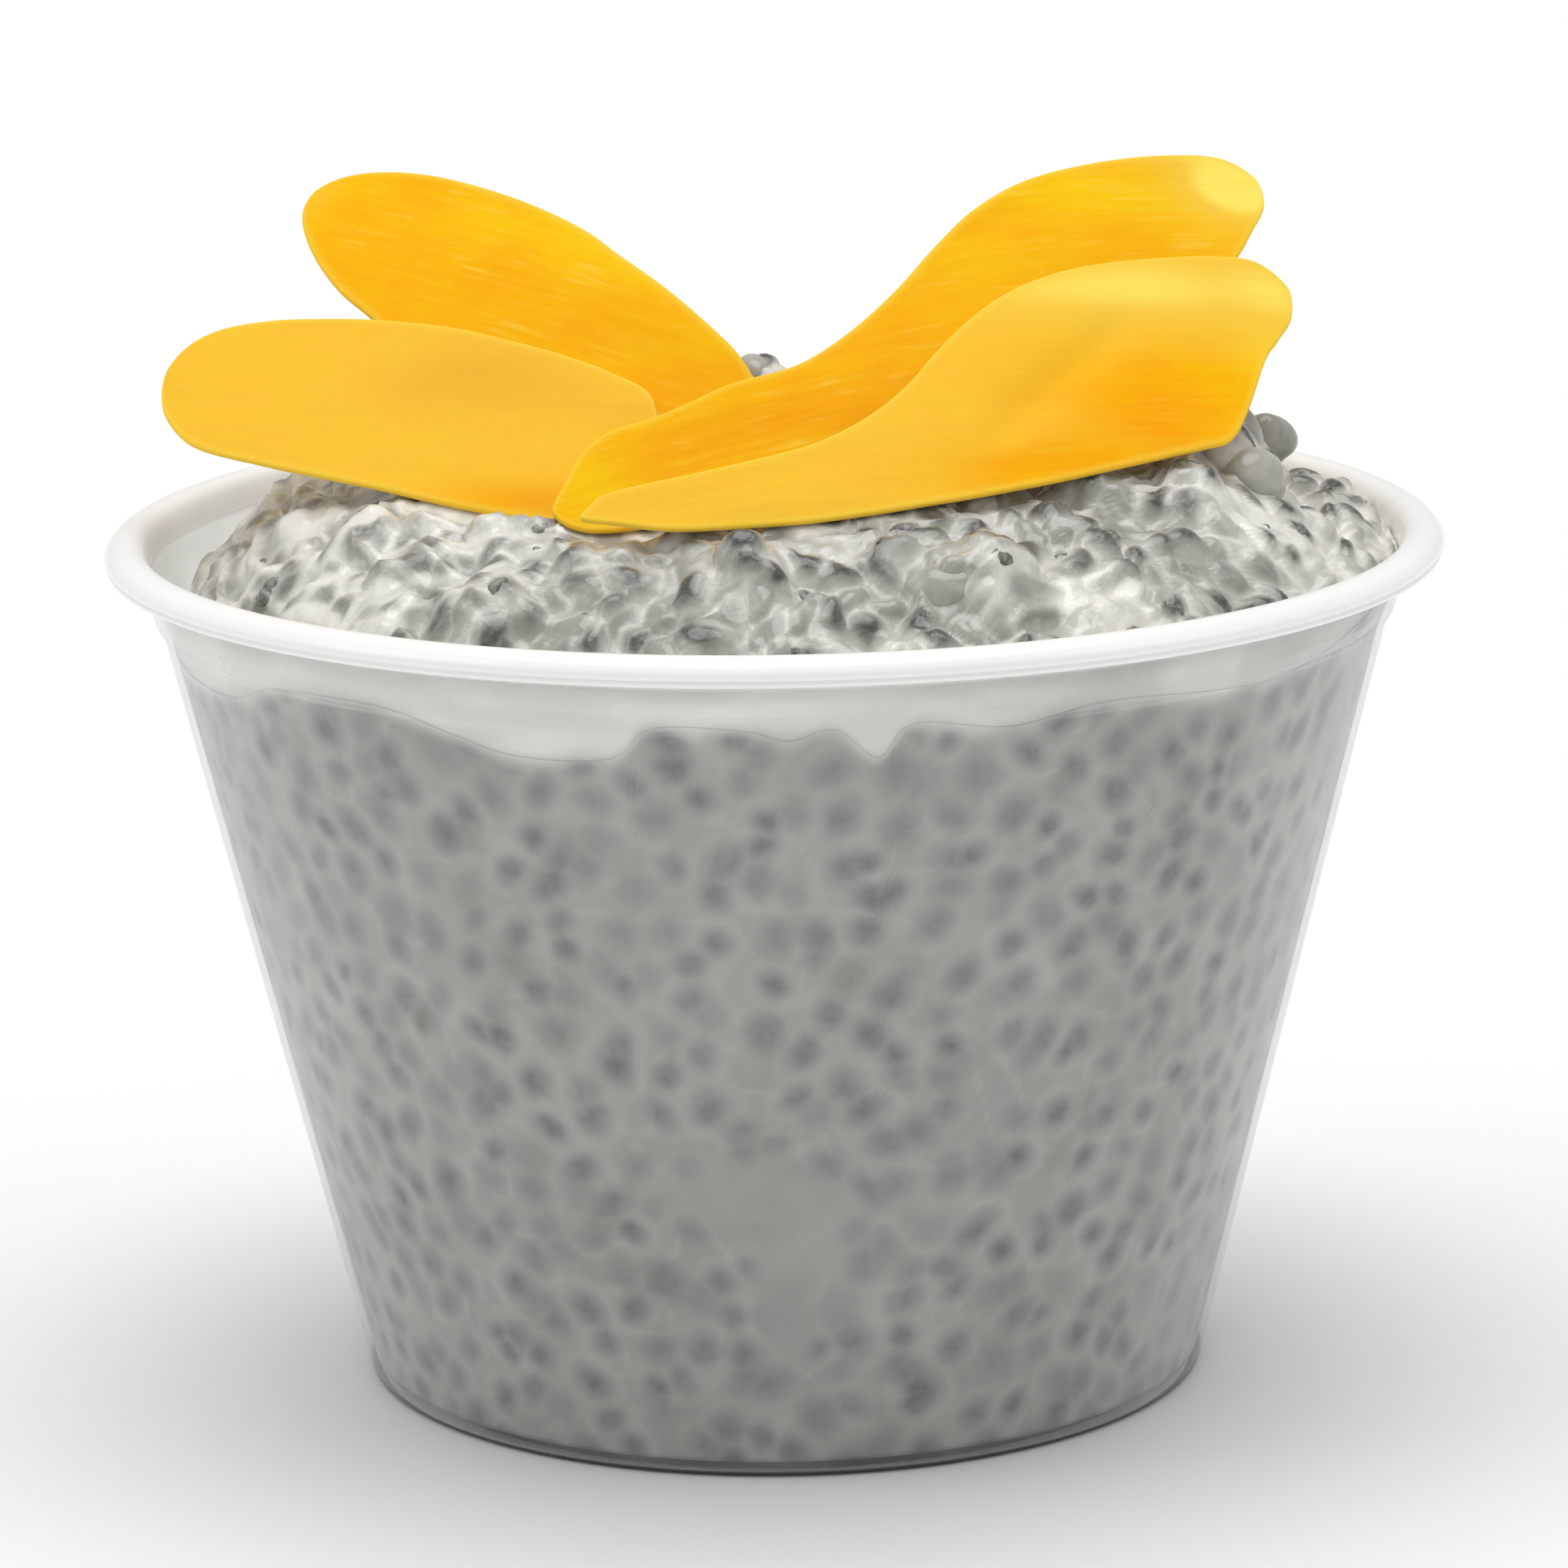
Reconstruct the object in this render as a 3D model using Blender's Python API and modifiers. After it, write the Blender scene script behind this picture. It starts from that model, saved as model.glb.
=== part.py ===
"""Chia pudding in a clear dessert cup, topped with four slices of mango.

The cup stands on its foot ring at z = 0, and its axis is the Z axis. The pudding fills
the cup and rises over the rim in a lumpy mound. Two slices lean to the left and two to
the right, and each lies in a shallow bed that its lower edge has pressed in the pudding.

All sizes below are in millimetres and degrees. MM turns them into Blender's metres.
Angles round the cup are measured from the front (-Y), positive towards +X.
"""

import math

import bmesh
import bpy
import numpy as np

MM = 0.001
GAP = 0.3                    # clearance between pieces that touch

# Cup
BASE_RADIUS = 30.1           # outer wall where it meets the table
WALL_SLOPE = 0.2439          # growth of the radius for each millimetre of height
WALL_THICKNESS = 0.55
FOOT_RING_WIDTH = 2.6
FOOT_RECESS = 1.0            # the middle of the base stands this far off the table
FLOOR_TOP = 1.6
STEP_BOTTOM = 55.2           # stacking step below the rim
STEP_TOP = 55.8
STEP_OUT = 0.35
WALL_TOP = 59.2
RIM_RADIUS = 47.5
RIM_TOP = 61.3
CUP_STEPS = 72

# Mango slices
SLICE_THICKNESS = 2.6
SLICE_EDGE_ROUND = 1.6       # width of the rounded border
SLICE_BEND_RADIUS = 150.0
SLICE_STATIONS = 22
SLICE_ACROSS = 9
BED_GAP = 0.35
BED_MARGIN = 2.4             # the bed in the pudding is wider than the slice by this

# Mound
MOUND_CELLS = 54             # cells along a side of the grid that becomes the top
MOUND_TOP = 67.9
SEED_PITCH = 4.2             # swollen seeds stand out of the top, singly or in pairs
SEED_RADIUS = 2.1
SEED_HEIGHT = 0.6
CLUMP_PITCH = 8.5            # looser clumps of pudding below them
CLUMP_RADIUS = 4.6
CLUMP_HEIGHT = 1.8
# Places where the mound departs from a plain dome
HEAP_HEIGHT = 1.2            # broad heap behind the middle
HUMP_HEIGHT = 2.3            # smaller one under the slices on the right
SHELF_X = 36.5               # the hump ends on its right in a steep side and a low shelf
SHELF_WIDTH = 3.4
SHELF_DEPTH = 2.9
SHELF_FRONT = -18.0

# Height at which the pudding leaves the wall, as (angle, height)
WALL_LINE = (
    (-180, 56.2), (-150, 55.2), (-125, 55.8), (-90, 54.0), (-63, 53.5), (-52, 55.4),
    (-38, 55.8), (-30, 54.4), (-24, 53.3), (-15, 53.5), (-11, 55.8), (-3, 55.7),
    (1, 54.9), (5, 55.7), (9, 53.5), (12, 55.9), (21, 55.1), (31, 56.1), (52, 55.2),
    (70, 57.4), (90, 59.0), (115, 58.2), (140, 56.6), (180, 56.2),
)

# Single lumps of the mound, as (x, y, radius, height)
LUMPS = (
    (-0.6, 9.0, 2.2, 2.3), (31.0, 3.0, 3.6, 1.7), (38.5, -6.0, 3.6, 0.8),
    (30.0, -16.0, 4.6, 1.1), (13.0, -31.5, 5.2, 1.2), (-30.0, -17.0, 4.2, 1.1),
    (22.0, -27.0, 4.0, 0.9), (-18.0, -30.0, 4.4, 0.9), (-2.0, -33.0, 4.2, 0.9),
    (-24.0, 22.0, 5.5, 1.6), (8.0, 30.0, 5.0, 1.5), (26.0, 20.0, 5.2, 1.5),
    (-8.0, 24.0, 4.6, 1.3), (-35.0, 6.0, 4.0, 0.9), (12.0, 16.0, 5.0, 1.2),
)

# Each slice lies on a plane that leans back, bent gently along its length. "turn" is
# about Z, "lean" is the tilt up from the table, "swing" turns the slice in its plane.
# The edges run from the left tip to the right tip in the plane's own millimetres.
SLICES = {
    "mango_slice_front_right": {
        "origin": (0.0, -26.6, 66.6), "turn": 10, "lean": 37, "swing": 10, "crown": -4,
        "upper": ((-12.8, 2.7), (-11.9, 3.7), (-10.6, 4.4), (-7.3, 4.6), (-3.8, 4.7),
                  (1.5, 5.1), (5.0, 5.7), (8.8, 7.2), (12.6, 9.6), (17.0, 13.5),
                  (20.9, 16.5), (24.8, 18.7), (29.5, 20.3), (34.9, 21.2), (41.0, 21.8),
                  (44.3, 21.4), (45.8, 18.8)),
        "lower": ((-12.8, 2.7), (-10.6, 1.6), (-7.1, 0.2), (-2.7, -0.5), (2.4, -1.0),
                  (8.2, -1.0), (14.3, -0.6), (20.7, 0.2), (27.3, 1.5), (32.8, 2.8),
                  (35.2, 3.7), (37.8, 6.9), (41.0, 11.7), (42.8, 13.6), (44.9, 15.9),
                  (45.8, 18.8)),
    },
    "mango_slice_back_right": {
        "origin": (0.0, -20.6, 66.4), "turn": 10, "lean": 38, "swing": 16, "crown": -4,
        "upper": ((-14.6, 4.2), (-12.6, 6.5), (-10.6, 8.4), (-8.1, 9.5), (-5.0, 9.6),
                  (-1.8, 10.1), (1.6, 10.8), (5.4, 10.9), (8.2, 11.5), (12.2, 13.3),
                  (16.8, 16.1), (21.7, 19.7), (26.2, 22.7), (31.3, 25.0), (37.1, 26.3),
                  (43.7, 27.0), (48.9, 26.7), (50.9, 24.4)),
        "lower": ((-14.6, 4.2), (-13.2, 1.9), (-9.0, 0.8), (-2.9, 0.9), (3.6, 1.5),
                  (10.7, 3.4), (18.5, 6.4), (26.4, 9.1), (34.0, 11.0), (40.5, 13.0),
                  (44.7, 16.3), (47.7, 19.2), (50.2, 21.7), (50.9, 24.4)),
    },
    "mango_slice_front_left": {
        "origin": (-12.0, -16.9, 66.2), "turn": -12, "lean": 37, "swing": -6, "crown": 4,
        "upper": ((-36.4, 12.0), (-35.5, 14.4), (-33.3, 15.8), (-29.5, 16.3),
                  (-25.6, 16.2), (-21.1, 15.9), (-15.2, 15.1), (-9.9, 13.8),
                  (-5.9, 12.5), (-2.3, 10.4), (0.6, 7.6), (2.4, 3.2)),
        "lower": ((-36.4, 12.0), (-36.0, 9.4), (-34.5, 6.9), (-31.3, 4.3), (-25.5, 2.3),
                  (-20.7, 1.0), (-16.1, -0.1), (-10.2, -1.5), (-5.1, -2.3),
                  (-1.5, -2.4), (1.2, -1.2), (2.4, 3.2)),
    },
    "mango_slice_back_left": {
        "origin": (-12.0, -5.6, 70.0), "turn": -12, "lean": 38, "swing": -24, "crown": 4,
        "upper": ((-34.3, 12.2), (-33.0, 14.2), (-29.9, 15.5), (-25.0, 16.1),
                  (-18.0, 15.8), (-11.5, 14.8), (-7.3, 13.5), (-2.5, 12.1), (2.0, 10.5),
                  (6.4, 8.6), (10.2, 5.6), (11.4, 1.8)),
        "lower": ((-34.3, 12.2), (-33.7, 9.8), (-30.4, 6.8), (-25.7, 3.9), (-20.7, 1.8),
                  (-13.8, -1.7), (-6.2, -4.4), (0.9, -5.5), (6.7, -4.9), (10.4, -2.4),
                  (11.4, 1.8)),
    },
}


def clear_scene():
    """Remove every object of the open file."""
    for obj in list(bpy.data.objects):
        bpy.data.objects.remove(obj, do_unlink=True)


def new_collection(name):
    """Make a collection in the scene."""
    collection = bpy.data.collections.new(name)
    bpy.context.scene.collection.children.link(collection)
    return collection


def new_material(name, color, roughness, alpha=1.0, transmission=0.0):
    """Make a plain Principled material."""
    material = bpy.data.materials.new(name)
    material.use_nodes = True
    shader = material.node_tree.nodes["Principled BSDF"]
    shader.inputs["Base Color"].default_value = (*color, 1.0)
    shader.inputs["Roughness"].default_value = roughness
    shader.inputs["Metallic"].default_value = 0.0
    shader.inputs["Alpha"].default_value = alpha
    shader.inputs["Transmission Weight"].default_value = transmission
    return material


def add_object(name, mesh, collection, material):
    """Wrap a mesh in a named object."""
    obj = bpy.data.objects.new(name, mesh)
    obj.data.materials.append(material)
    collection.objects.link(obj)
    return obj


def smooth_step(value, start, end):
    """0 before start, 1 after end, and an S-shaped blend between them."""
    t = np.clip((value - start) / (end - start), 0.0, 1.0)
    return t * t * (3.0 - 2.0 * t)


def outer_radius(z):
    """Radius of the cup's outer wall below the stacking step."""
    return BASE_RADIUS + WALL_SLOPE * z


def inner_radius(z):
    """Radius of the cup's inner wall below the stacking step."""
    return outer_radius(z) - WALL_THICKNESS


def cup_profile():
    """Half section of the cup as (radius, z).

    It runs from the middle of the inner floor up the inside, over the rim, down the
    outside and back to the middle underneath.
    """
    foot_inner = BASE_RADIUS - FOOT_RING_WIDTH
    inside = [
        (0.0, FLOOR_TOP),
        (foot_inner, FLOOR_TOP),
        (inner_radius(FLOOR_TOP) - 0.5, FLOOR_TOP),
        (inner_radius(FLOOR_TOP + 0.7), FLOOR_TOP + 0.7),
        (inner_radius(28.0), 28.0),
        (inner_radius(STEP_BOTTOM), STEP_BOTTOM),
        (inner_radius(STEP_TOP) + STEP_OUT, STEP_TOP),
        (inner_radius(WALL_TOP) + STEP_OUT, WALL_TOP),
    ]
    rim = [
        (RIM_RADIUS - 2.9, RIM_TOP - 0.9),
        (RIM_RADIUS - 2.3, RIM_TOP - 0.15),
        (RIM_RADIUS - 1.3, RIM_TOP),
        (RIM_RADIUS - 0.4, RIM_TOP - 0.5),
        (RIM_RADIUS, RIM_TOP - 1.3),
        (RIM_RADIUS - 0.3, RIM_TOP - 1.95),
        (RIM_RADIUS - 1.4, RIM_TOP - 1.95),
    ]
    outside = [
        (outer_radius(WALL_TOP) + STEP_OUT, WALL_TOP - 0.3),
        (outer_radius(STEP_TOP) + STEP_OUT, STEP_TOP),
        (outer_radius(STEP_BOTTOM), STEP_BOTTOM),
        (outer_radius(28.0), 28.0),
        (outer_radius(0.7), 0.7),
        (BASE_RADIUS - 0.4, 0.0),
        (foot_inner, 0.0),
        (foot_inner - 0.6, FOOT_RECESS),
        (0.0, FOOT_RECESS),
    ]
    return inside + rim + outside


def make_cup(collection, material):
    """Turn the cup's half section about Z with a Screw modifier."""
    points = [(radius * MM, 0.0, z * MM) for radius, z in cup_profile()]
    edges = [(i, i + 1) for i in range(len(points) - 1)]
    mesh = bpy.data.meshes.new("cup")
    mesh.from_pydata(points, edges, [])
    cup = add_object("cup", mesh, collection, material)
    screw = cup.modifiers.new("Turn", "SCREW")
    screw.axis = "Z"
    screw.angle = 2.0 * math.pi
    screw.steps = CUP_STEPS
    screw.render_steps = CUP_STEPS
    screw.use_merge_vertices = True
    screw.merge_threshold = 0.00005
    screw.use_smooth_shade = True
    return cup


def smooth_curve(points, samples=16):
    """Points along a Catmull-Rom curve through the given ones."""
    given = np.array(points, float)
    padded = np.vstack([2 * given[0] - given[1], given, 2 * given[-1] - given[-2]])
    t = np.linspace(0.0, 1.0, samples, endpoint=False)[:, None]
    pieces = []
    for a, b, c, d in zip(padded, padded[1:], padded[2:], padded[3:]):
        piece = (2 * b + (c - a) * t + (2 * a - 5 * b + 4 * c - d) * t ** 2
                 + (3 * b - a - 3 * c + d) * t ** 3) / 2
        pieces.append(piece)
    return np.vstack(pieces + [given[-1:]])


def at_fractions(curve, fractions):
    """Points at the given fractions of a curve's length."""
    steps = np.linalg.norm(np.diff(curve, axis=0), axis=1)
    length = np.concatenate([[0.0], np.cumsum(steps)])
    wanted = fractions * length[-1]
    return np.stack([np.interp(wanted, length, curve[:, k]) for k in range(2)], -1)


def slice_axes(spec):
    """Rotation from a slice's plane to the world, as a 3 by 3 array."""
    turn, lean, swing = (math.radians(spec[key]) for key in ("turn", "lean", "swing"))

    def about_z(angle):
        return np.array([[math.cos(angle), -math.sin(angle), 0.0],
                         [math.sin(angle), math.cos(angle), 0.0],
                         [0.0, 0.0, 1.0]])

    tilt = np.array([[1.0, 0.0, 0.0],
                     [0.0, math.cos(lean), -math.sin(lean)],
                     [0.0, math.sin(lean), math.cos(lean)]])
    return about_z(turn) @ tilt @ about_z(swing)


def slice_point(spec, a, b, offset):
    """World point at (a, b) of a slice's bent middle surface, moved along its normal."""
    drop = -(a - spec["crown"]) ** 2 / (2.0 * SLICE_BEND_RADIUS)
    slope = (a - spec["crown"]) / SLICE_BEND_RADIUS
    size = np.sqrt(1.0 + slope ** 2)
    local = np.stack([a + offset * slope / size, b + 0.0 * a, drop + offset / size], -1)
    return np.array(spec["origin"]) + local @ slice_axes(spec).T


def slice_underside(spec, x, y):
    """Height of a slice's underside over (x, y), and infinity away from the slice.

    The plane's (a, b) come from (x, y) by a few rounds of fixed-point steps, because
    the surface is bent only gently.
    """
    axes = slice_axes(spec)
    origin = np.array(spec["origin"])
    across = np.linalg.inv(axes[:2, :2])
    drop = np.full_like(x, -SLICE_THICKNESS / 2)
    for _ in range(8):
        flat = np.stack([x - origin[0] - axes[0, 2] * drop,
                         y - origin[1] - axes[1, 2] * drop], -1)
        plane = flat @ across.T
        drop = (-(plane[..., 0] - spec["crown"]) ** 2 / (2.0 * SLICE_BEND_RADIUS)
                - SLICE_THICKNESS / 2)
    height = origin[2] + plane @ axes[2, :2] + axes[2, 2] * drop
    upper = smooth_curve(spec["upper"])
    lower = smooth_curve(spec["lower"])
    a, b = plane[..., 0], plane[..., 1]
    shifts = (-BED_MARGIN, 0.0, BED_MARGIN)
    highest = np.max([np.interp(a + by, upper[:, 0], upper[:, 1]) for by in shifts], 0)
    lowest = np.min([np.interp(a + by, lower[:, 0], lower[:, 1]) for by in shifts], 0)
    inside = ((b < highest + BED_MARGIN) & (b > lowest - BED_MARGIN)
              & (a > upper[0, 0] - BED_MARGIN) & (a < upper[-1, 0] + BED_MARGIN))
    return np.where(inside, height, np.inf)


def make_slice(name, spec, collection, material):
    """Loft a slice between its two edges, with a rounded border and closed tips.

    Each section is a ring: the upper face from edge to edge and the lower face back.
    The half thickness grows from the outline as a quarter circle, then stays level.
    """
    fractions = (1.0 - np.cos(np.linspace(0.0, math.pi, SLICE_STATIONS))) / 2.0
    upper = at_fractions(smooth_curve(spec["upper"]), fractions)
    lower = at_fractions(smooth_curve(spec["lower"]), fractions)
    across = (1.0 - np.cos(np.linspace(0.0, math.pi, SLICE_ACROSS))) / 2.0
    mesh = bmesh.new()
    rings = []
    for low, high in zip(lower, upper):
        middle = low + (high - low) * across[:, None]
        border = np.minimum(across, 1.0 - across) * np.linalg.norm(high - low)
        depth = np.clip(border / SLICE_EDGE_ROUND, 0.0, 1.0)
        half = SLICE_THICKNESS / 2 * np.sqrt(1.0 - (1.0 - depth) ** 2)
        top = slice_point(spec, middle[:, 0], middle[:, 1], half)
        bottom = slice_point(spec, middle[:, 0], middle[:, 1], -half)
        ring = np.vstack([top, bottom[-2:0:-1]]) * MM
        rings.append([mesh.verts.new(point) for point in ring])
    for ring, following in zip(rings, rings[1:]):
        for k in range(len(ring)):
            after = (k + 1) % len(ring)
            mesh.faces.new((ring[k], following[k], following[after], ring[after]))
    bmesh.ops.remove_doubles(mesh, verts=mesh.verts, dist=0.00002)
    bmesh.ops.dissolve_degenerate(mesh, edges=mesh.edges, dist=0.00002)
    bmesh.ops.recalc_face_normals(mesh, faces=mesh.faces)
    data = bpy.data.meshes.new(name)
    mesh.to_mesh(data)
    mesh.free()
    data.shade_smooth()
    return add_object(name, data, collection, material)


def wall_line(angle):
    """Height at which the pudding leaves the wall, at angles in degrees."""
    angles, heights = zip(*WALL_LINE)
    return np.interp(angle, angles, heights)


def side_blend(angle, start, end, back_start, back_end):
    """1 round one side of the cup, fading to 0 at the front and at the back."""
    return smooth_step(angle, start, end) * (1 - smooth_step(angle, back_start, back_end))


def dome(x, y):
    """Height of the mound without lumps.

    It is a flat-topped dome, level with the wall line at the wall, plus a broad heap
    behind the middle, a hump on the right, and the low shelf beside that.
    """
    angle = np.degrees(np.arctan2(x, -y))
    right = side_blend(angle, 40, 85, 100, 140)
    left = side_blend(-angle, 45, 85, 120, 160)
    foot = 55.0 + 4.0 * right - 1.2 * left + smooth_step(np.abs(angle), 120, 170)
    top = MOUND_TOP + side_blend(angle, 40, 85, 125, 160) + 0.3 * left
    reach = np.clip(np.hypot(x, y) / (inner_radius(foot) - GAP), 0.0, 1.0)
    height = foot + (top - foot) * (1.0 - reach ** 3) ** (0.75 - 0.05 * left)
    height += (wall_line(angle) - foot) * smooth_step(reach, 0.85, 1.0)
    height += HEAP_HEIGHT * np.exp(-((x - 3.0) / 22.0) ** 2 - ((y - 7.0) / 13.0) ** 2)
    height += HUMP_HEIGHT * np.exp(-((x - 29.0) ** 2 + (y - 1.0) ** 2) / 90.0)
    shelf = np.exp(-((x - SHELF_X) / SHELF_WIDTH) ** 2)
    shelf *= smooth_step(y, SHELF_FRONT, SHELF_FRONT + 12.0)
    height -= SHELF_DEPTH * shelf * (1.0 - smooth_step(reach, 0.93, 1.0))
    return height, reach


def scattered_points(pitch, seed):
    """Places in the top: a staggered grid, shaken by a seeded draw, with a size each."""
    draw = np.random.default_rng(seed)
    rows = np.arange(-46.0, 46.0, pitch * 0.87)
    columns = np.arange(-46.0, 46.0, pitch)
    x, y = np.meshgrid(columns, rows)
    x[1::2] += pitch / 2
    shake = draw.uniform(-0.32, 0.32, (2,) + x.shape) * pitch
    places = np.stack([x + shake[0], y + shake[1]], -1).reshape(-1, 2)
    return places, draw.uniform(0.4, 1.0, len(places))


def bumps(x, y, pitch, radius, height, seed):
    """Highest of many round bumps over (x, y), each falling to 0 at the radius."""
    places, sizes = scattered_points(pitch, seed)
    distance = np.hypot(x[..., None] - places[:, 0], y[..., None] - places[:, 1])
    return (height * sizes * (1.0 - smooth_step(distance, 0.0, radius))).max(-1)


def mound_height(x, y):
    """Height of the pudding's top over (x, y), with lumps, seeds and slice beds."""
    height, reach = dome(x, y)
    fade = 1.0 - smooth_step(reach, 0.9, 1.0)
    for lump_x, lump_y, radius, size in LUMPS:
        away = ((x - lump_x) ** 2 + (y - lump_y) ** 2) / radius ** 2
        height += fade * size * np.exp(-away)
    height += fade * bumps(x, y, CLUMP_PITCH, CLUMP_RADIUS, CLUMP_HEIGHT, 3)
    height += fade * bumps(x, y, SEED_PITCH, SEED_RADIUS, SEED_HEIGHT, 11)
    for spec in SLICES.values():
        height = np.minimum(height, slice_underside(spec, x, y) - BED_GAP)
    return height


def square_to_disc(u, v):
    """Map the square -1..1 to the unit disc, ring by ring, with even spacing."""
    wide = np.abs(u) > np.abs(v)
    radius = np.where(wide, u, v)
    safe = np.where(radius == 0.0, 1.0, radius)
    angle = np.where(wide, (math.pi / 4) * (v / safe),
                     math.pi / 2 - (math.pi / 4) * (u / safe))
    return radius * np.cos(angle), radius * np.sin(angle)


def make_pudding(collection, material):
    """Shape a grid into the mound, then drop its border along the wall to the floor."""
    mesh = bmesh.new()
    bmesh.ops.create_grid(mesh, x_segments=MOUND_CELLS, y_segments=MOUND_CELLS, size=1.0)
    flat = np.array([vertex.co[:2] for vertex in mesh.verts])
    unit_x, unit_y = square_to_disc(flat[:, 0], flat[:, 1])
    edge = wall_line(np.degrees(np.arctan2(unit_x, -unit_y)))
    reach = inner_radius(edge) - GAP
    x, y = unit_x * reach, unit_y * reach
    for vertex, point in zip(mesh.verts, np.stack([x, y, mound_height(x, y)], -1) * MM):
        vertex.co = point
    border = [item for item in mesh.edges if item.is_boundary]
    extruded = bmesh.ops.extrude_edge_only(mesh, edges=border)["geom"]
    floor = FLOOR_TOP + GAP
    floor_radius = inner_radius(floor) - 0.5 - GAP
    ring = [item for item in extruded if isinstance(item, bmesh.types.BMVert)]
    for vertex in ring:
        scale = floor_radius * MM / math.hypot(vertex.co.x, vertex.co.y)
        vertex.co = (vertex.co.x * scale, vertex.co.y * scale, floor * MM)
    loop = [item for item in mesh.edges if item.is_boundary]
    cap = bmesh.ops.edgeloop_fill(mesh, edges=loop)["faces"]
    bmesh.ops.poke(mesh, faces=cap)
    bmesh.ops.recalc_face_normals(mesh, faces=mesh.faces)
    data = bpy.data.meshes.new("pudding")
    mesh.to_mesh(data)
    mesh.free()
    data.shade_smooth()
    return add_object("pudding", data, collection, material)


def main():
    """Build the cup, the pudding and the four slices."""
    clear_scene()
    parts = new_collection("chia_pudding")
    clear_plastic = new_material("clear_plastic", (0.86, 0.87, 0.86), 0.15, 0.35, 0.6)
    seeded_pudding = new_material("seeded_pudding", (0.36, 0.37, 0.35), 0.35)
    mango_flesh = new_material("mango_flesh", (0.98, 0.50, 0.03), 0.38)
    make_cup(parts, clear_plastic)
    make_pudding(parts, seeded_pudding)
    for name, spec in SLICES.items():
        make_slice(name, spec, parts, mango_flesh)


main()
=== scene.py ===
"""Looks of a chia pudding in a clear dessert cup, topped with four slices of mango.

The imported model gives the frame: the cup on its foot at z = 0, its axis on Z, the
viewer on -Y. Every shape below is a numpy surface in millimetres and degrees, and MM
turns it into Blender's metres. Angles round the cup are measured from the front (-Y),
positive towards +X.
"""

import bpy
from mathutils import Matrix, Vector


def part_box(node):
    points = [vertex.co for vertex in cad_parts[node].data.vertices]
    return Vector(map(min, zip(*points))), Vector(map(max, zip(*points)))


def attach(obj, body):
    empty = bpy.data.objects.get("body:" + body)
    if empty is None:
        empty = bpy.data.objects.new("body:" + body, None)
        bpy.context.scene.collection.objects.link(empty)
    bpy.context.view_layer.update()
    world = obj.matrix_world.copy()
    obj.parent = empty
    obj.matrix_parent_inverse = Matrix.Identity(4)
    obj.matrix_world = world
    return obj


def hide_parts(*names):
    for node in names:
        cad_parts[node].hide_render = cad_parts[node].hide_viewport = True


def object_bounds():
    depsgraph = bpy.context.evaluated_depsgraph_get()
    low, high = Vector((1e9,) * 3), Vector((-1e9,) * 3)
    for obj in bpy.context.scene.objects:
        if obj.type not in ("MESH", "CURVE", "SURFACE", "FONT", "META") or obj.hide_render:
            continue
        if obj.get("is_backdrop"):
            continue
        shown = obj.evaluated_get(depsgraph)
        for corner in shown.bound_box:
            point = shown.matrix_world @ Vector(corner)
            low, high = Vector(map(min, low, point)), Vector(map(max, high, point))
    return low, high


bl_info = {
    "name": "Chia Pudding With Mango",
    "version": (1, 0, 0),
    "blender": (4, 5, 0),
    "location": "View3D > Sidebar > Dessert",
    "description": "Builds a cup of chia pudding with mango slices around its solid model",
    "category": "Object",
}

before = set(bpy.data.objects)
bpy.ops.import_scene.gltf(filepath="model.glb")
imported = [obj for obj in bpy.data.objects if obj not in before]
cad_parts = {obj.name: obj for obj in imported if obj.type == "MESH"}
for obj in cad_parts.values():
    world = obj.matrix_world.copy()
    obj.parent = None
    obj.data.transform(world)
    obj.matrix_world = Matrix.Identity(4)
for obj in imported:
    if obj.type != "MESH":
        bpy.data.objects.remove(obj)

import math

import bpy
import numpy as np
from mathutils import Matrix, Vector

MM = 0.001
FRAME_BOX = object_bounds()
CUP_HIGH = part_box("cup")[1]

# Cup, repeated from the solid model
BASE_RADIUS = 30.1
WALL_SLOPE = 0.2439
FOOT_RING_WIDTH = 2.6
FOOT_RECESS = 1.0
FLOOR_TOP = 1.6
STEP_BOTTOM = 55.2
STEP_TOP = 55.8
STEP_OUT = 0.35
STEP_SPREAD = 1.4            # what lies against the wall rounds off the step by this much
WALL_TOP = 59.2
RIM_RADIUS = CUP_HIGH.x / MM
RIM_TOP = CUP_HIGH.z / MM
CUP_COLUMNS = 360
RIM_PROFILE = (              # from inside to outside, as (inwards, down) from its top edge
    (3.05, 1.35), (2.75, 0.55), (2.2, 0.12), (1.4, 0.01), (0.6, 0.28), (0.14, 0.75),
    (0.0, 1.1), (0.08, 1.34), (0.20, 1.44), (0.16, 1.56), (0.16, 1.76), (0.5, 1.98),
    (1.2, 1.95), (1.9, 2.05),
)
INTO_WALL = 0.06             # what touches the clear wall reaches this far into it
UNROLL_RADIUS = 40.0         # radius that turns angles into distances round the cup

# Mound, repeated from the solid model
GAP = 0.3                    # between the mound and the wall
MOUND_TOP = 67.9
SEED_PITCH = 4.2
SEED_RADIUS = 2.1
SEED_HEIGHT = 0.6
CLUMP_PITCH = 8.5
CLUMP_RADIUS = 4.6
CLUMP_HEIGHT = 1.8
SCATTER_EDGE = 46.0          # scattered things are drawn over a square of this half side
ROW_SPACING = 0.87           # distance of their rows, as a share of the pitch
HEAP_HEIGHT = 1.2            # broad heap behind the middle
HUMP_HEIGHT = 2.3            # smaller one under the slices on the right
SHELF_X = 36.5               # the hump ends on its right in a steep side and a low shelf
SHELF_WIDTH = 3.4
SHELF_DEPTH = 2.9
SHELF_FRONT = -18.0

# Mean section of the mound, to measure distances over its slope
MEAN_FOOT = 55.5
MEAN_RADIUS = 43.4
MEAN_POWER = 0.72

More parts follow.
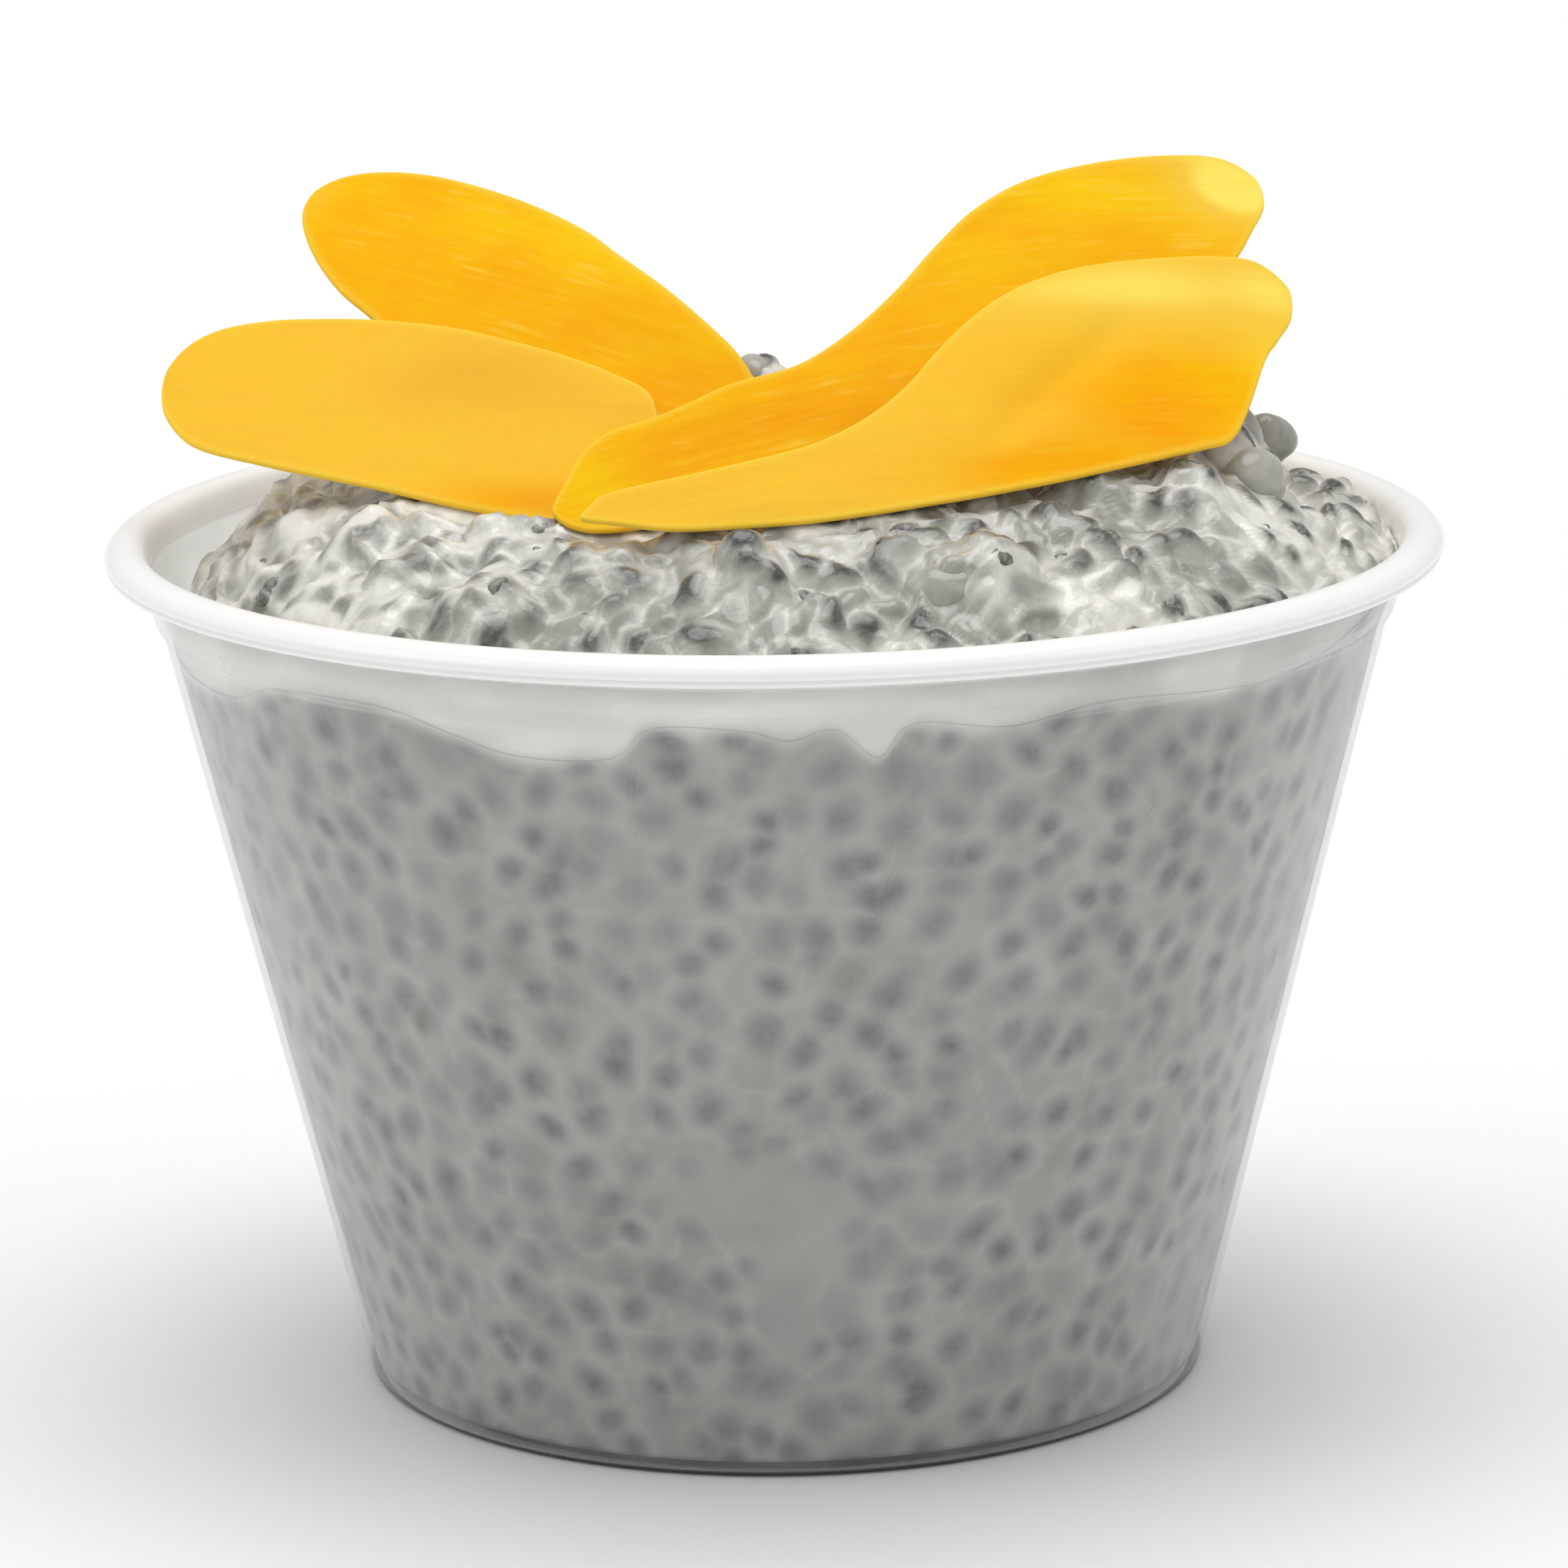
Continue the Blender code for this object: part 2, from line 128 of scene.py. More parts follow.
# What the scene adds to the solid pudding, and the fineness of its meshes
PEARL_PITCH = 2.8            # swollen seeds of the fine relief
LOBE_PITCH = 6.5             # its large lobes
MAP_SPREAD = 1.4             # its flat map is this much wider than the mound
TOP_CELLS = 300
SKIRT_DEPTH = 4.0
PUDDING_FLOOR = 1.08         # just inside the cup's floor
POLE_HEIGHT = 50.0           # hidden point inside the pudding that closes a surface
SIDE_COLUMNS = 640
SIDE_ROWS = 130
WALL_SEED_PITCH = 3.55
BARE_PLACE = (-1.0, 20.8)    # patch without seeds, as distance round the wall and height
BARE_SIZE = (6.5, 2.6)
HUSK_PLACE = (-28.6, 32.3)   # one fleck of hull, in the same way
HUSK_SIZE = (0.55, 0.8)
FILM_COLUMNS = 720
FILM_ROWS = 12
FILM_BELOW_LINE = 1.5        # the film starts this far under the wall line
FILM_UNDER_FLANGE = 0.15

# Height at which the pudding leaves the wall, as (angle, height)
WALL_LINE = (
    (-180, 56.2), (-150, 55.2), (-125, 55.8), (-90, 54.0), (-63, 53.5), (-52, 55.4),
    (-38, 55.8), (-30, 54.4), (-24, 53.3), (-15, 53.5), (-11, 55.8), (-3, 55.7),
    (1, 54.9), (5, 55.7), (9, 53.5), (12, 55.9), (21, 55.1), (31, 56.1), (52, 55.2),
    (70, 57.4), (90, 59.0), (115, 58.2), (140, 56.6), (180, 56.2),
)

# How thick the milk film above it looks, as (angle, share)
FILM_STRENGTH = (
    (-180, 0.9), (-70, 0.9), (-40, 0.92), (-10, 1.0), (2, 0.98), (14, 0.88), (22, 0.78),
    (28, 0.62), (34, 0.57), (38, 0.90), (44, 0.93), (49, 0.53), (70, 0.45), (100, 0.6),
    (180, 0.9),
)

# Loose seeds on the mound
LOOSE_SEEDS = 70
SEED_REACH = 42.0            # none lies further out
SEED_CLEARANCE = 1.3         # or nearer to a slice's outline
SEED_LONG = 1.05             # half lengths of a seed's three axes
SEED_WIDE = 0.75
SEED_THICK = 0.60

# Smooth knobs that hang over the slope, as (x, y, z, half width, half depth, half height,
# darkness)
KNOBS = (
    (35.4, 7.0, 65.5, 2.2, 2.1, 2.1, 0.30),
    (33.9, 6.2, 65.0, 2.1, 1.9, 2.4, 0.35),
    (32.3, 1.5, 67.0, 2.3, 2.0, 2.2, 0.25),
    (34.9, 5.4, 63.4, 1.5, 1.2, 1.0, 0.90),
    (38.0, 6.5, 62.0, 2.8, 0.7, 0.5, 0.90),
    (-0.9, 9.0, 70.4, 1.7, 2.0, 1.5, 0.15),
    (11.8, -32.6, 62.5, 3.2, 2.3, 2.4, 0.05),
    (31.0, -5.6, 66.4, 2.8, 2.2, 2.1, 0.05),
    (33.3, -6.6, 64.9, 2.5, 2.1, 2.3, 0.10),
)

# Single lumps of the mound, as (x, y, radius, height)
LUMPS = (
    (-0.6, 9.0, 2.2, 2.3), (31.0, 3.0, 3.6, 1.7), (38.5, -6.0, 3.6, 0.8),
    (30.0, -16.0, 4.6, 1.1), (13.0, -31.5, 5.2, 1.2), (-30.0, -17.0, 4.2, 1.1),
    (22.0, -27.0, 4.0, 0.9), (-18.0, -30.0, 4.4, 0.9), (-2.0, -33.0, 4.2, 0.9),
    (-24.0, 22.0, 5.5, 1.6), (8.0, 30.0, 5.0, 1.5), (26.0, 20.0, 5.2, 1.5),
    (-8.0, 24.0, 4.6, 1.3), (-35.0, 6.0, 4.0, 0.9), (12.0, 16.0, 5.0, 1.2),
)

# Soft patches where the mound is greyer and its seeds are darker, as (x, y, reach along
# x, reach along y, strength)
SHADES = (
    (-18.0, -36.0, 8.0, 4.5, 1.0), (33.5, 1.0, 4.0, 4.0, 1.3), (21.0, -35.0, 6.0, 5.0, 0.6),
)

# Mango slices, repeated from the solid model: a leaning plane, bent along its length,
# with the edges from the left tip to the right tip in the plane's own millimetres. The
# right end of the front left one is a little longer here.
SLICES = {
    "mango_slice_front_right": {
        "origin": (0.0, -26.6, 66.6), "turn": 10, "lean": 37, "swing": 10, "crown": -4,
        "upper": ((-12.8, 2.7), (-11.9, 3.7), (-10.6, 4.4), (-7.3, 4.6), (-3.8, 4.7),
                  (1.5, 5.1), (5.0, 5.7), (8.8, 7.2), (12.6, 9.6), (17.0, 13.5),
                  (20.9, 16.5), (24.8, 18.7), (29.5, 20.3), (34.9, 21.2), (41.0, 21.8),
                  (44.3, 21.4), (45.8, 18.8)),
        "lower": ((-12.8, 2.7), (-10.6, 1.6), (-7.1, 0.2), (-2.7, -0.5), (2.4, -1.0),
                  (8.2, -1.0), (14.3, -0.6), (20.7, 0.2), (27.3, 1.5), (32.8, 2.8),
                  (35.2, 3.7), (37.8, 6.9), (41.0, 11.7), (42.8, 13.6), (44.9, 15.9),
                  (45.8, 18.8)),
    },
    "mango_slice_back_right": {
        "origin": (0.0, -20.6, 66.4), "turn": 10, "lean": 38, "swing": 16, "crown": -4,
        "upper": ((-14.6, 4.2), (-12.6, 6.5), (-10.6, 8.4), (-8.1, 9.5), (-5.0, 9.6),
                  (-1.8, 10.1), (1.6, 10.8), (5.4, 10.9), (8.2, 11.5), (12.2, 13.3),
                  (16.8, 16.1), (21.7, 19.7), (26.2, 22.7), (31.3, 25.0), (37.1, 26.3),
                  (43.7, 27.0), (48.9, 26.7), (50.9, 24.4)),
        "lower": ((-14.6, 4.2), (-13.2, 1.9), (-9.0, 0.8), (-2.9, 0.9), (3.6, 1.5),
                  (10.7, 3.4), (18.5, 6.4), (26.4, 9.1), (34.0, 11.0), (40.5, 13.0),
                  (44.7, 16.3), (47.7, 19.2), (50.2, 21.7), (50.9, 24.4)),
    },
    "mango_slice_front_left": {
        "origin": (-12.0, -16.9, 66.2), "turn": -12, "lean": 37, "swing": -6, "crown": 4,
        "upper": ((-36.4, 12.0), (-35.5, 14.4), (-33.3, 15.8), (-29.5, 16.3),
                  (-25.6, 16.2), (-21.1, 15.9), (-15.2, 15.1), (-9.9, 13.8),
                  (-5.9, 12.7), (-2.0, 11.3), (1.4, 9.3), (3.0, 4.0)),
        "lower": ((-36.4, 12.0), (-36.0, 9.4), (-34.5, 6.9), (-31.3, 4.3), (-25.5, 2.3),
                  (-20.7, 1.0), (-16.1, -0.1), (-10.2, -1.5), (-5.1, -2.3),
                  (-1.5, -2.4), (1.4, -1.0), (3.0, 4.0)),
    },
    "mango_slice_back_left": {
        "origin": (-12.0, -5.6, 70.0), "turn": -12, "lean": 38, "swing": -24, "crown": 4,
        "upper": ((-34.3, 12.2), (-33.0, 14.2), (-29.9, 15.5), (-25.0, 16.1),
                  (-18.0, 15.8), (-11.5, 14.8), (-7.3, 13.5), (-2.5, 12.1), (2.0, 10.5),
                  (6.4, 8.6), (10.2, 5.6), (11.4, 1.8)),
        "lower": ((-34.3, 12.2), (-33.7, 9.8), (-30.4, 6.8), (-25.7, 3.9), (-20.7, 1.8),
                  (-13.8, -1.7), (-6.2, -4.4), (0.9, -5.5), (6.7, -4.9), (10.4, -2.4),
                  (11.4, 1.8)),
    },
}


# Settings

def length_setting(name, description, millimetres):
    """A length that the panel shows and Blender keeps in metres."""
    return bpy.props.FloatProperty(name=name, description=description,
                                   default=millimetres * MM, unit="LENGTH", precision=5)


def colour_setting(name, description, *default):
    """A colour from its three parts."""
    return bpy.props.FloatVectorProperty(name=name, description=description,
                                         default=default, subtype="COLOR", min=0.0, max=1.0)


class CupSettings(bpy.types.PropertyGroup):
    """Sizes and colours of the clear cup."""

    wall_thickness: length_setting("Wall Thickness", "Thickness of the clear wall", 0.55)
    wall_opacity: bpy.props.FloatProperty(
        name="Wall Opacity", description="How milky the clear wall is",
        default=0.13, min=0.0, max=1.0, subtype="FACTOR")
    plastic_colour: colour_setting(
        "Plastic", "Colour of the plastic where it is thick", 0.97, 0.97, 0.96)
    # Painted contact shadow: the thin dark line round the foot
    foot_shadow_colour: colour_setting(
        "Foot Line", "Colour of the thin dark line round the foot", 0.045, 0.030, 0.030)


class PuddingSettings(bpy.types.PropertyGroup):
    """Sizes and colours of the pudding and its seeds."""

    pearl_size: length_setting("Pearl Size", "Radius of a swollen seed with its gel", 1.75)
    film_thickness: length_setting(
        "Film Thickness", "Thickness of the milk left on the wall", 0.25)
    milk_colour: colour_setting(
        "Milk", "Colour of the pale milk between the seeds", 0.84, 0.83, 0.76)
    gel_colour: colour_setting("Gel", "Colour of the gel round a seed", 0.36, 0.36, 0.325)
    seed_colour: colour_setting(
        "Seed", "Colour of a seed under its gel", 0.075, 0.075, 0.066)


class MangoSettings(bpy.types.PropertyGroup):
    """Sizes and colours of the mango slices."""

    thickness: length_setting("Thickness", "Thickness of a slice in its middle", 2.6)
    bend_radius: length_setting(
        "Bend Radius", "Radius of the gentle bend along a slice", 150.0)
    deep_colour: colour_setting(
        "Deep Flesh", "Colour of the flesh near the stone", 0.95, 0.355, 0.002)
    yellow_colour: colour_setting(
        "Yellow Flesh", "Colour of the clear yellow flesh", 0.94, 0.57, 0.003)
    pale_colour: colour_setting(
        "Pale Flesh", "Colour of the flesh where it is milky", 0.94, 0.57, 0.052)
    # Painted light: the thin tips and upper parts that light comes through
    lit_flesh_colour: colour_setting(
        "Cream Tips", "Colour of the thin tips where light comes through", 0.98, 0.78, 0.13)
    fibre_colour: colour_setting(
        "Fibres", "Colour of the fine pale threads", 0.98, 0.68, 0.085)
    # Painted highlight along the rounded cut edges
    edge_highlight_colour: colour_setting(
        "Cut Edge", "Colour of the thin cut edges", 0.95, 0.65, 0.07)


class StageSettings(bpy.types.PropertyGroup):
    """Floor and light."""

    ambient: bpy.props.FloatProperty(
        name="Ambient", description="Strength of the light that comes from all round",
        default=0.53, min=0.0)
    key: bpy.props.FloatProperty(
        name="Key", description="Strength of the soft light from above and behind",
        default=1.15, min=0.0)
    floor_colour: colour_setting("Floor", "Colour of the floor", 0.90, 0.905, 0.89)


class DessertSettings(bpy.types.PropertyGroup):
    """All settings of the dessert."""

    cup: bpy.props.PointerProperty(type=CupSettings)
    pudding: bpy.props.PointerProperty(type=PuddingSettings)
    mango: bpy.props.PointerProperty(type=MangoSettings)
    stage: bpy.props.PointerProperty(type=StageSettings)


# Formulas that the shapes share

def smooth_step(value, start, end):
    """0 before start, 1 after end, and an S-shaped blend between them."""
    t = np.clip((value - start) / (end - start), 0.0, 1.0)
    return t * t * (3.0 - 2.0 * t)


LATTICE = 64                 # points along a side before the noise repeats


def soft_noise(x, y, size, seed):
    """Random heights in -1..1 on a square lattice, blended with an S-shaped curve."""
    lattice = np.random.default_rng(seed).uniform(-1.0, 1.0, (LATTICE, LATTICE))
    u, v = x / size + 2 * LATTICE, y / size + 2 * LATTICE
    i, j = np.floor(u).astype(int), np.floor(v).astype(int)
    s, t = smooth_step(u - i, 0.0, 1.0), smooth_step(v - j, 0.0, 1.0)

    def corner(di, dj):
        return lattice[(i + di) % LATTICE, (j + dj) % LATTICE]

    near = corner(0, 0) * (1 - s) + corner(1, 0) * s
    far = corner(0, 1) * (1 - s) + corner(1, 1) * s
    return near * (1 - t) + far * t


def smooth_curve(points, samples=16, before=None, after=None):
    """Points along a Catmull-Rom curve through the given ones.

    The curve heads for the points before and after past its two ends. Without them it
    ends straight.
    """
    given = np.array(points, float)
    padded = np.vstack([2 * given[0] - given[1] if before is None else before, given,
                        2 * given[-1] - given[-2] if after is None else after])
    t = np.linspace(0.0, 1.0, samples, endpoint=False)[:, None]
    pieces = [(2 * b + (c - a) * t + (2 * a - 5 * b + 4 * c - d) * t ** 2
               + (3 * b - a - 3 * c + d) * t ** 3) / 2
              for a, b, c, d in zip(padded, padded[1:], padded[2:], padded[3:])]
    return np.vstack(pieces + [given[-1:]])


def at_fractions(curve, fractions):
    """Points at the given fractions of a curve's length."""
    steps = np.linalg.norm(np.diff(curve, axis=0), axis=1)
    length = np.concatenate([[0.0], np.cumsum(steps)])
    wanted = fractions * length[-1]
    return np.stack([np.interp(wanted, length, curve[:, k]) for k in range(2)], -1)


def outer_radius(z):
    """Radius of the cup's outer wall below the stacking step."""
    return BASE_RADIUS + WALL_SLOPE * z


def wall_thickness():
    """Thickness of the clear wall in millimetres."""
    return bpy.context.scene.dessert.cup.wall_thickness / MM


def inner_radius(z, spread=0.0):
    """Radius of the cup's inner wall: a straight slope, with the step as a ramp.

    The spread makes the ramp longer at both ends.
    """
    step = STEP_OUT * smooth_step(z, STEP_BOTTOM - spread, STEP_TOP + spread)
    return outer_radius(z) - wall_thickness() + step


def contents_radius(z):
    """Radius of what lies against the wall."""
    return inner_radius(z, STEP_SPREAD)


def place_round(radius, angle, z):
    """Points round the cup's axis at a radius, an angle from the front and a height."""
    return np.stack([radius * np.sin(angle), -radius * np.cos(angle), z + 0.0 * angle], -1)


def front_angle(x, y):
    """Angle from the front in degrees, positive towards +X."""
    return np.degrees(np.arctan2(x, -y))


def patch(u, v, place, size):
    """Squared distance from a place, in shares of an ellipse's two half sizes."""
    return ((u - place[0]) / size[0]) ** 2 + ((v - place[1]) / size[1]) ** 2


def soft_patches(u, v, patches):
    """Sum of soft patches, each given as (u, v, wide, deep, amount)."""
    return sum(amount * np.exp(-patch(u, v, (at_u, at_v), (wide, deep)))
               for at_u, at_v, wide, deep, amount in patches)


def patched(table, name, a, b):
    """A plain value plus soft patches, both from a table's row."""
    plain, patches = table[name]
    return plain + soft_patches(a, b, patches)


# Meshes from arrays

def rolled_surface(rings, start, end):
    """Points and faces of a surface from closed rings, with a pole at each end.

    rings is an array of (ring, point, 3). Neighbouring rings are joined by quads, and
    the first and last ring are joined to the two poles by triangles.
    """
    count, around = rings.shape[:2]
    points = np.vstack([rings.reshape(-1, 3), start, end])
    index = np.arange(count * around).reshape(count, around)
    after = np.roll(index, -1, axis=1)
    quads = np.stack([index[:-1], after[:-1], after[1:], index[1:]], -1).reshape(-1, 4)
    first = np.full(around, count * around)
    last = first + 1
    fans = np.vstack([np.stack([after[0], index[0], first], -1),
                      np.stack([index[-1], after[-1], last], -1)])
    return points, [quads, fans]


def enclosed_volume(points, faces):
    """Volume inside closed faces: the sum of the signed cones from the origin."""
    total = 0.0
    for group in faces:
        corners = points[group]
        for k in range(1, group.shape[1] - 1):
            cross = np.cross(corners[:, k], corners[:, k + 1])
            total += (corners[:, 0] * cross).sum() / 6.0
    return total


def add_object(name, data):
    """Put new data into the scene as an object."""
    added = bpy.data.objects.new(name, data)
    bpy.context.scene.collection.objects.link(added)
    return added


def add_piece(name, points, faces, material, marks=None):
    """Make a smooth object from millimetre points, with its faces pointing out.

    marks are named values for each point, kept as attributes for the materials.
    """
    if enclosed_volume(points, faces) < 0.0:
        faces = [group[:, ::-1] for group in faces]
    mesh = bpy.data.meshes.new(name)
    mesh.vertices.add(len(points))
    mesh.vertices.foreach_set("co", (points * MM).astype(np.float32).ravel())
    loops = np.concatenate([group.ravel() for group in faces]).astype(np.int32)
    sides = np.concatenate([np.full(len(group), group.shape[1]) for group in faces])
    starts = np.concatenate([[0], np.cumsum(sides)[:-1]]).astype(np.int32)
    mesh.loops.add(len(loops))
    mesh.loops.foreach_set("vertex_index", loops)
    mesh.polygons.add(len(sides))
    mesh.polygons.foreach_set("loop_start", starts)
    mesh.update(calc_edges=True)
    mesh.shade_smooth()
    for key, values in (marks or {}).items():
        attribute = mesh.attributes.new(key, "FLOAT", "POINT")
        attribute.data.foreach_set("value", values.astype(np.float32).ravel())
    mesh.materials.append(material)
    return add_object(name, mesh)


def with_rest(marks, count):
    """Marks as flat arrays, with zeros for the given number of further points."""
    return {key: np.concatenate([values.ravel(), np.zeros(count)])
            for key, values in marks.items()}


def settle(piece, slot, *nodes):
    """Let a piece ride on the body and stand for solid nodes; its slot is not used."""
    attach(piece, "root")
    if nodes:
        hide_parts(*nodes)


# Materials

class Finish:
    """A Principled material, with short calls that add nodes and link them."""

    def __init__(self, name, roughness, specular=0.5):
        self.material = bpy.data.materials.new(name)
        self.material.use_nodes = True
        self.tree = self.material.node_tree
        self.shader = self.tree.nodes["Principled BSDF"]
        self.shader.inputs["Roughness"].default_value = roughness
        self.shader.inputs["Specular IOR Level"].default_value = specular
        self.place = self.add("ShaderNodeTexCoord").outputs["Object"]

    def add(self, kind, inputs=None, **settings):
        """Add a node, set it, and feed its inputs with numbers or other sockets."""
        node = self.tree.nodes.new(kind)
        for key, value in settings.items():
            setattr(node, key, value)
        for key, value in (inputs or {}).items():
            self.feed(node.inputs[key], value)
        return node

    def feed(self, socket, value):
        """Link a socket to another, or set its value."""
        if isinstance(value, bpy.types.NodeSocket):
            self.tree.links.new(value, socket)
        else:
            socket.default_value = value

    def set(self, key, value):
        """Feed one of the shader's own inputs."""
        self.feed(self.shader.inputs[key], value)

    def millimetres(self, stretch=(1.0, 1.0, 1.0)):
        """Object coordinates in millimetres, stretched."""
        scale = tuple(part / MM for part in stretch)
        return self.add("ShaderNodeMapping",
                        {"Vector": self.place, "Scale": scale}).outputs["Vector"]

    def height(self):
        """Height above the table in metres."""
        return self.add("ShaderNodeSeparateXYZ", {0: self.place}).outputs["Z"]

    def mark(self, name):
        """A value kept for each point of the mesh."""
        return self.add("ShaderNodeAttribute", attribute_name=name).outputs["Fac"]

    def math(self, operation, first, second=0.0, clamp=False):
        """One step of arithmetic."""
        node = self.add("ShaderNodeMath", {0: first, 1: second}, operation=operation)
        node.use_clamp = clamp
        return node.outputs[0]

    def span(self, value, low, high, to_low=0.0, to_high=1.0, smooth=True):
        """Map low..high to to_low..to_high, clamped, with soft ends."""
        kind = "SMOOTHSTEP" if smooth else "LINEAR"
        return self.add("ShaderNodeMapRange", {
            "Value": value, "From Min": low, "From Max": high,
            "To Min": to_low, "To Max": to_high},
            interpolation_type=kind).outputs["Result"]

    def noise(self, place, size, detail=2.0, roughness=0.5):
        """Soft noise with features of about the given size in millimetres."""
        return self.add("ShaderNodeTexNoise", {
            "Vector": place, "Scale": 1.0 / size, "Detail": detail,
            "Roughness": roughness}).outputs["Fac"]

    def blotches(self, place, size, detail=2.0, to_low=0.0, to_high=1.0, smooth=True):
        """Soft noise of strong contrast, mapped to to_low..to_high."""
        return self.span(self.noise(place, size, detail), 0.3, 0.7, to_low, to_high, smooth)

    def product(self, first, second):
        """Two values multiplied."""
        return self.math("MULTIPLY", first, second)

    def mix(self, share, first, second):
        """Blend two colours; each is a socket or has three parts."""
        node = self.add("ShaderNodeMix", data_type="RGBA")
        self.feed(node.inputs[0], share)
        for socket, value in ((node.inputs[6], first), (node.inputs[7], second)):
            plain = not isinstance(value, bpy.types.NodeSocket)
            self.feed(socket, (*value[:3], 1.0) if plain else value)
        return node.outputs[2]

    def bump(self, height, distance, strength=1.0):
        """Bend the shading by a height field; distance is in millimetres."""
        node = self.add("ShaderNodeBump", {
            "Height": height, "Distance": distance * MM, "Strength": strength})
        self.feed(self.shader.inputs["Normal"], node.outputs["Normal"])


# Pairs of colours, a darker and a paler one
GEL_LOOKS = ((0.258, 0.266, 0.246), (0.325, 0.334, 0.309))
FILM_LOOKS = ((0.74, 0.75, 0.71), (0.86, 0.865, 0.83))
HULL_LOOKS = ((0.13, 0.13, 0.12), (0.28, 0.28, 0.25))

HALO_COLOUR = (0.420, 0.430, 0.402)
WALL_SEED_COLOUR = (0.052, 0.058, 0.050)
HUSK_COLOUR = (0.085, 0.075, 0.022)
OLIVE_COLOUR = (0.84, 0.46, 0.038)
UNDERSIDE_COLOUR = (0.92, 0.68, 0.24)


def plastic_finish(cup):
    """Clear plastic: nearly invisible in the wall, white where the rim is thick, with a
    painted contact shadow at the foot.
    """
    finish = Finish("clear_plastic", 0.24)
    z = finish.height()
    rim = finish.span(z, (WALL_TOP - 0.9) * MM, (WALL_TOP + 0.2) * MM)
    # Darker at the foot: painted contact shadow where the cup stands
    foot = finish.span(z, 0.8 * MM, 0.3 * MM)
    # Paler where the wall is seen at a slant: a longer path through the haze, and partly a
    # painted reflection
    facing = finish.add("ShaderNodeLayerWeight", {"Blend": 0.5}).outputs["Facing"]
    edge = finish.span(facing, 0.42, 1.0, 0.0, 0.33, False)
    haze = finish.noise(finish.millimetres((1.0, 1.0, 0.35)), 9.0)
    haze = finish.span(haze, 0.35, 0.7, 0.0, 0.06)
    wall = finish.math("ADD", finish.math("ADD", edge, haze), cup.wall_opacity)
    opacity = finish.math("MAXIMUM", wall, finish.product(rim, 0.98))
    opacity = finish.math("MAXIMUM", opacity, finish.product(foot, 0.9), True)
    finish.set("Base Color", finish.mix(foot, cup.plastic_colour, cup.foot_shadow_colour))
    finish.set("Alpha", opacity)
    return finish.material


def filmed_colour(finish, below):
    """Colour of what lies against the wall: cloudy milk wherever the film mark is 1."""
    cloud = finish.noise(finish.millimetres((0.5, 0.5, 1.0)), 3.0, 3.0)
    milk = finish.mix(finish.span(cloud, 0.35, 0.7), *FILM_LOOKS)
    return finish.mix(finish.mark("film"), below, milk)


def seen_through_wall_finish():
    """Pudding against the wall: grey gel, soft dark seeds with pale halos, milk above."""
    finish = Finish("pudding_side", 0.36, 0.35)
    place = finish.millimetres()
    colour = finish.mix(finish.blotches(place, 6.0, 3.0), *GEL_LOOKS)
    colour = finish.mix(finish.product(finish.mark("pale"), 0.6), colour, HALO_COLOUR)
    dark = finish.product(finish.mark("dark"), finish.blotches(place, 0.8, 2.0, 0.70))
    colour = finish.mix(dark, colour, WALL_SEED_COLOUR)
    colour = finish.mix(finish.mark("husk"), colour, HUSK_COLOUR)
    finish.set("Base Color", filmed_colour(finish, colour))
    return finish.material


def film_finish():
    """Thin milk left on the wall: pale, cloudy and soft."""
    finish = Finish("milk_film", 0.36, 0.35)
    gel = finish.mix(finish.blotches(finish.millimetres(), 6.0, 3.0), *GEL_LOOKS)
    finish.set("Base Color", filmed_colour(finish, gel))
    finish.set("Alpha", finish.mark("body"))
    return finish.material


def open_top_finish(pudding):
    """Wet top of the pudding: pale milk, grey gel, and dark seeds under the gel."""
    finish = Finish("pudding_top", 0.2, 0.6)
    place = finish.millimetres()
    cloud = finish.blotches(place, 2.2, 3.0, -0.2, 0.2, False)
    share = finish.math("ADD", finish.mark("milk_and_light"), cloud, True)
    colour = finish.mix(share, pudding.gel_colour, pudding.milk_colour)
    core = finish.product(finish.mark("core"), finish.blotches(place, 0.6, 2.0, 0.72))
    finish.set("Base Color", finish.mix(core, colour, pudding.seed_colour))
    finish.set("Roughness", finish.blotches(place, 3.0, 2.0, 0.08, 0.28))
    finish.bump(finish.noise(place, 0.8, 3.0), 0.14, 0.6)
    return finish.material


def seed_finish():
    """Hull of a chia seed: grey-brown with darker mottles."""
    finish = Finish("chia_seed", 0.3)
    mottle = finish.span(finish.noise(finish.millimetres(), 0.5), 0.4, 0.6)
    finish.set("Base Color", finish.mix(mottle, *HULL_LOOKS))
    return finish.material


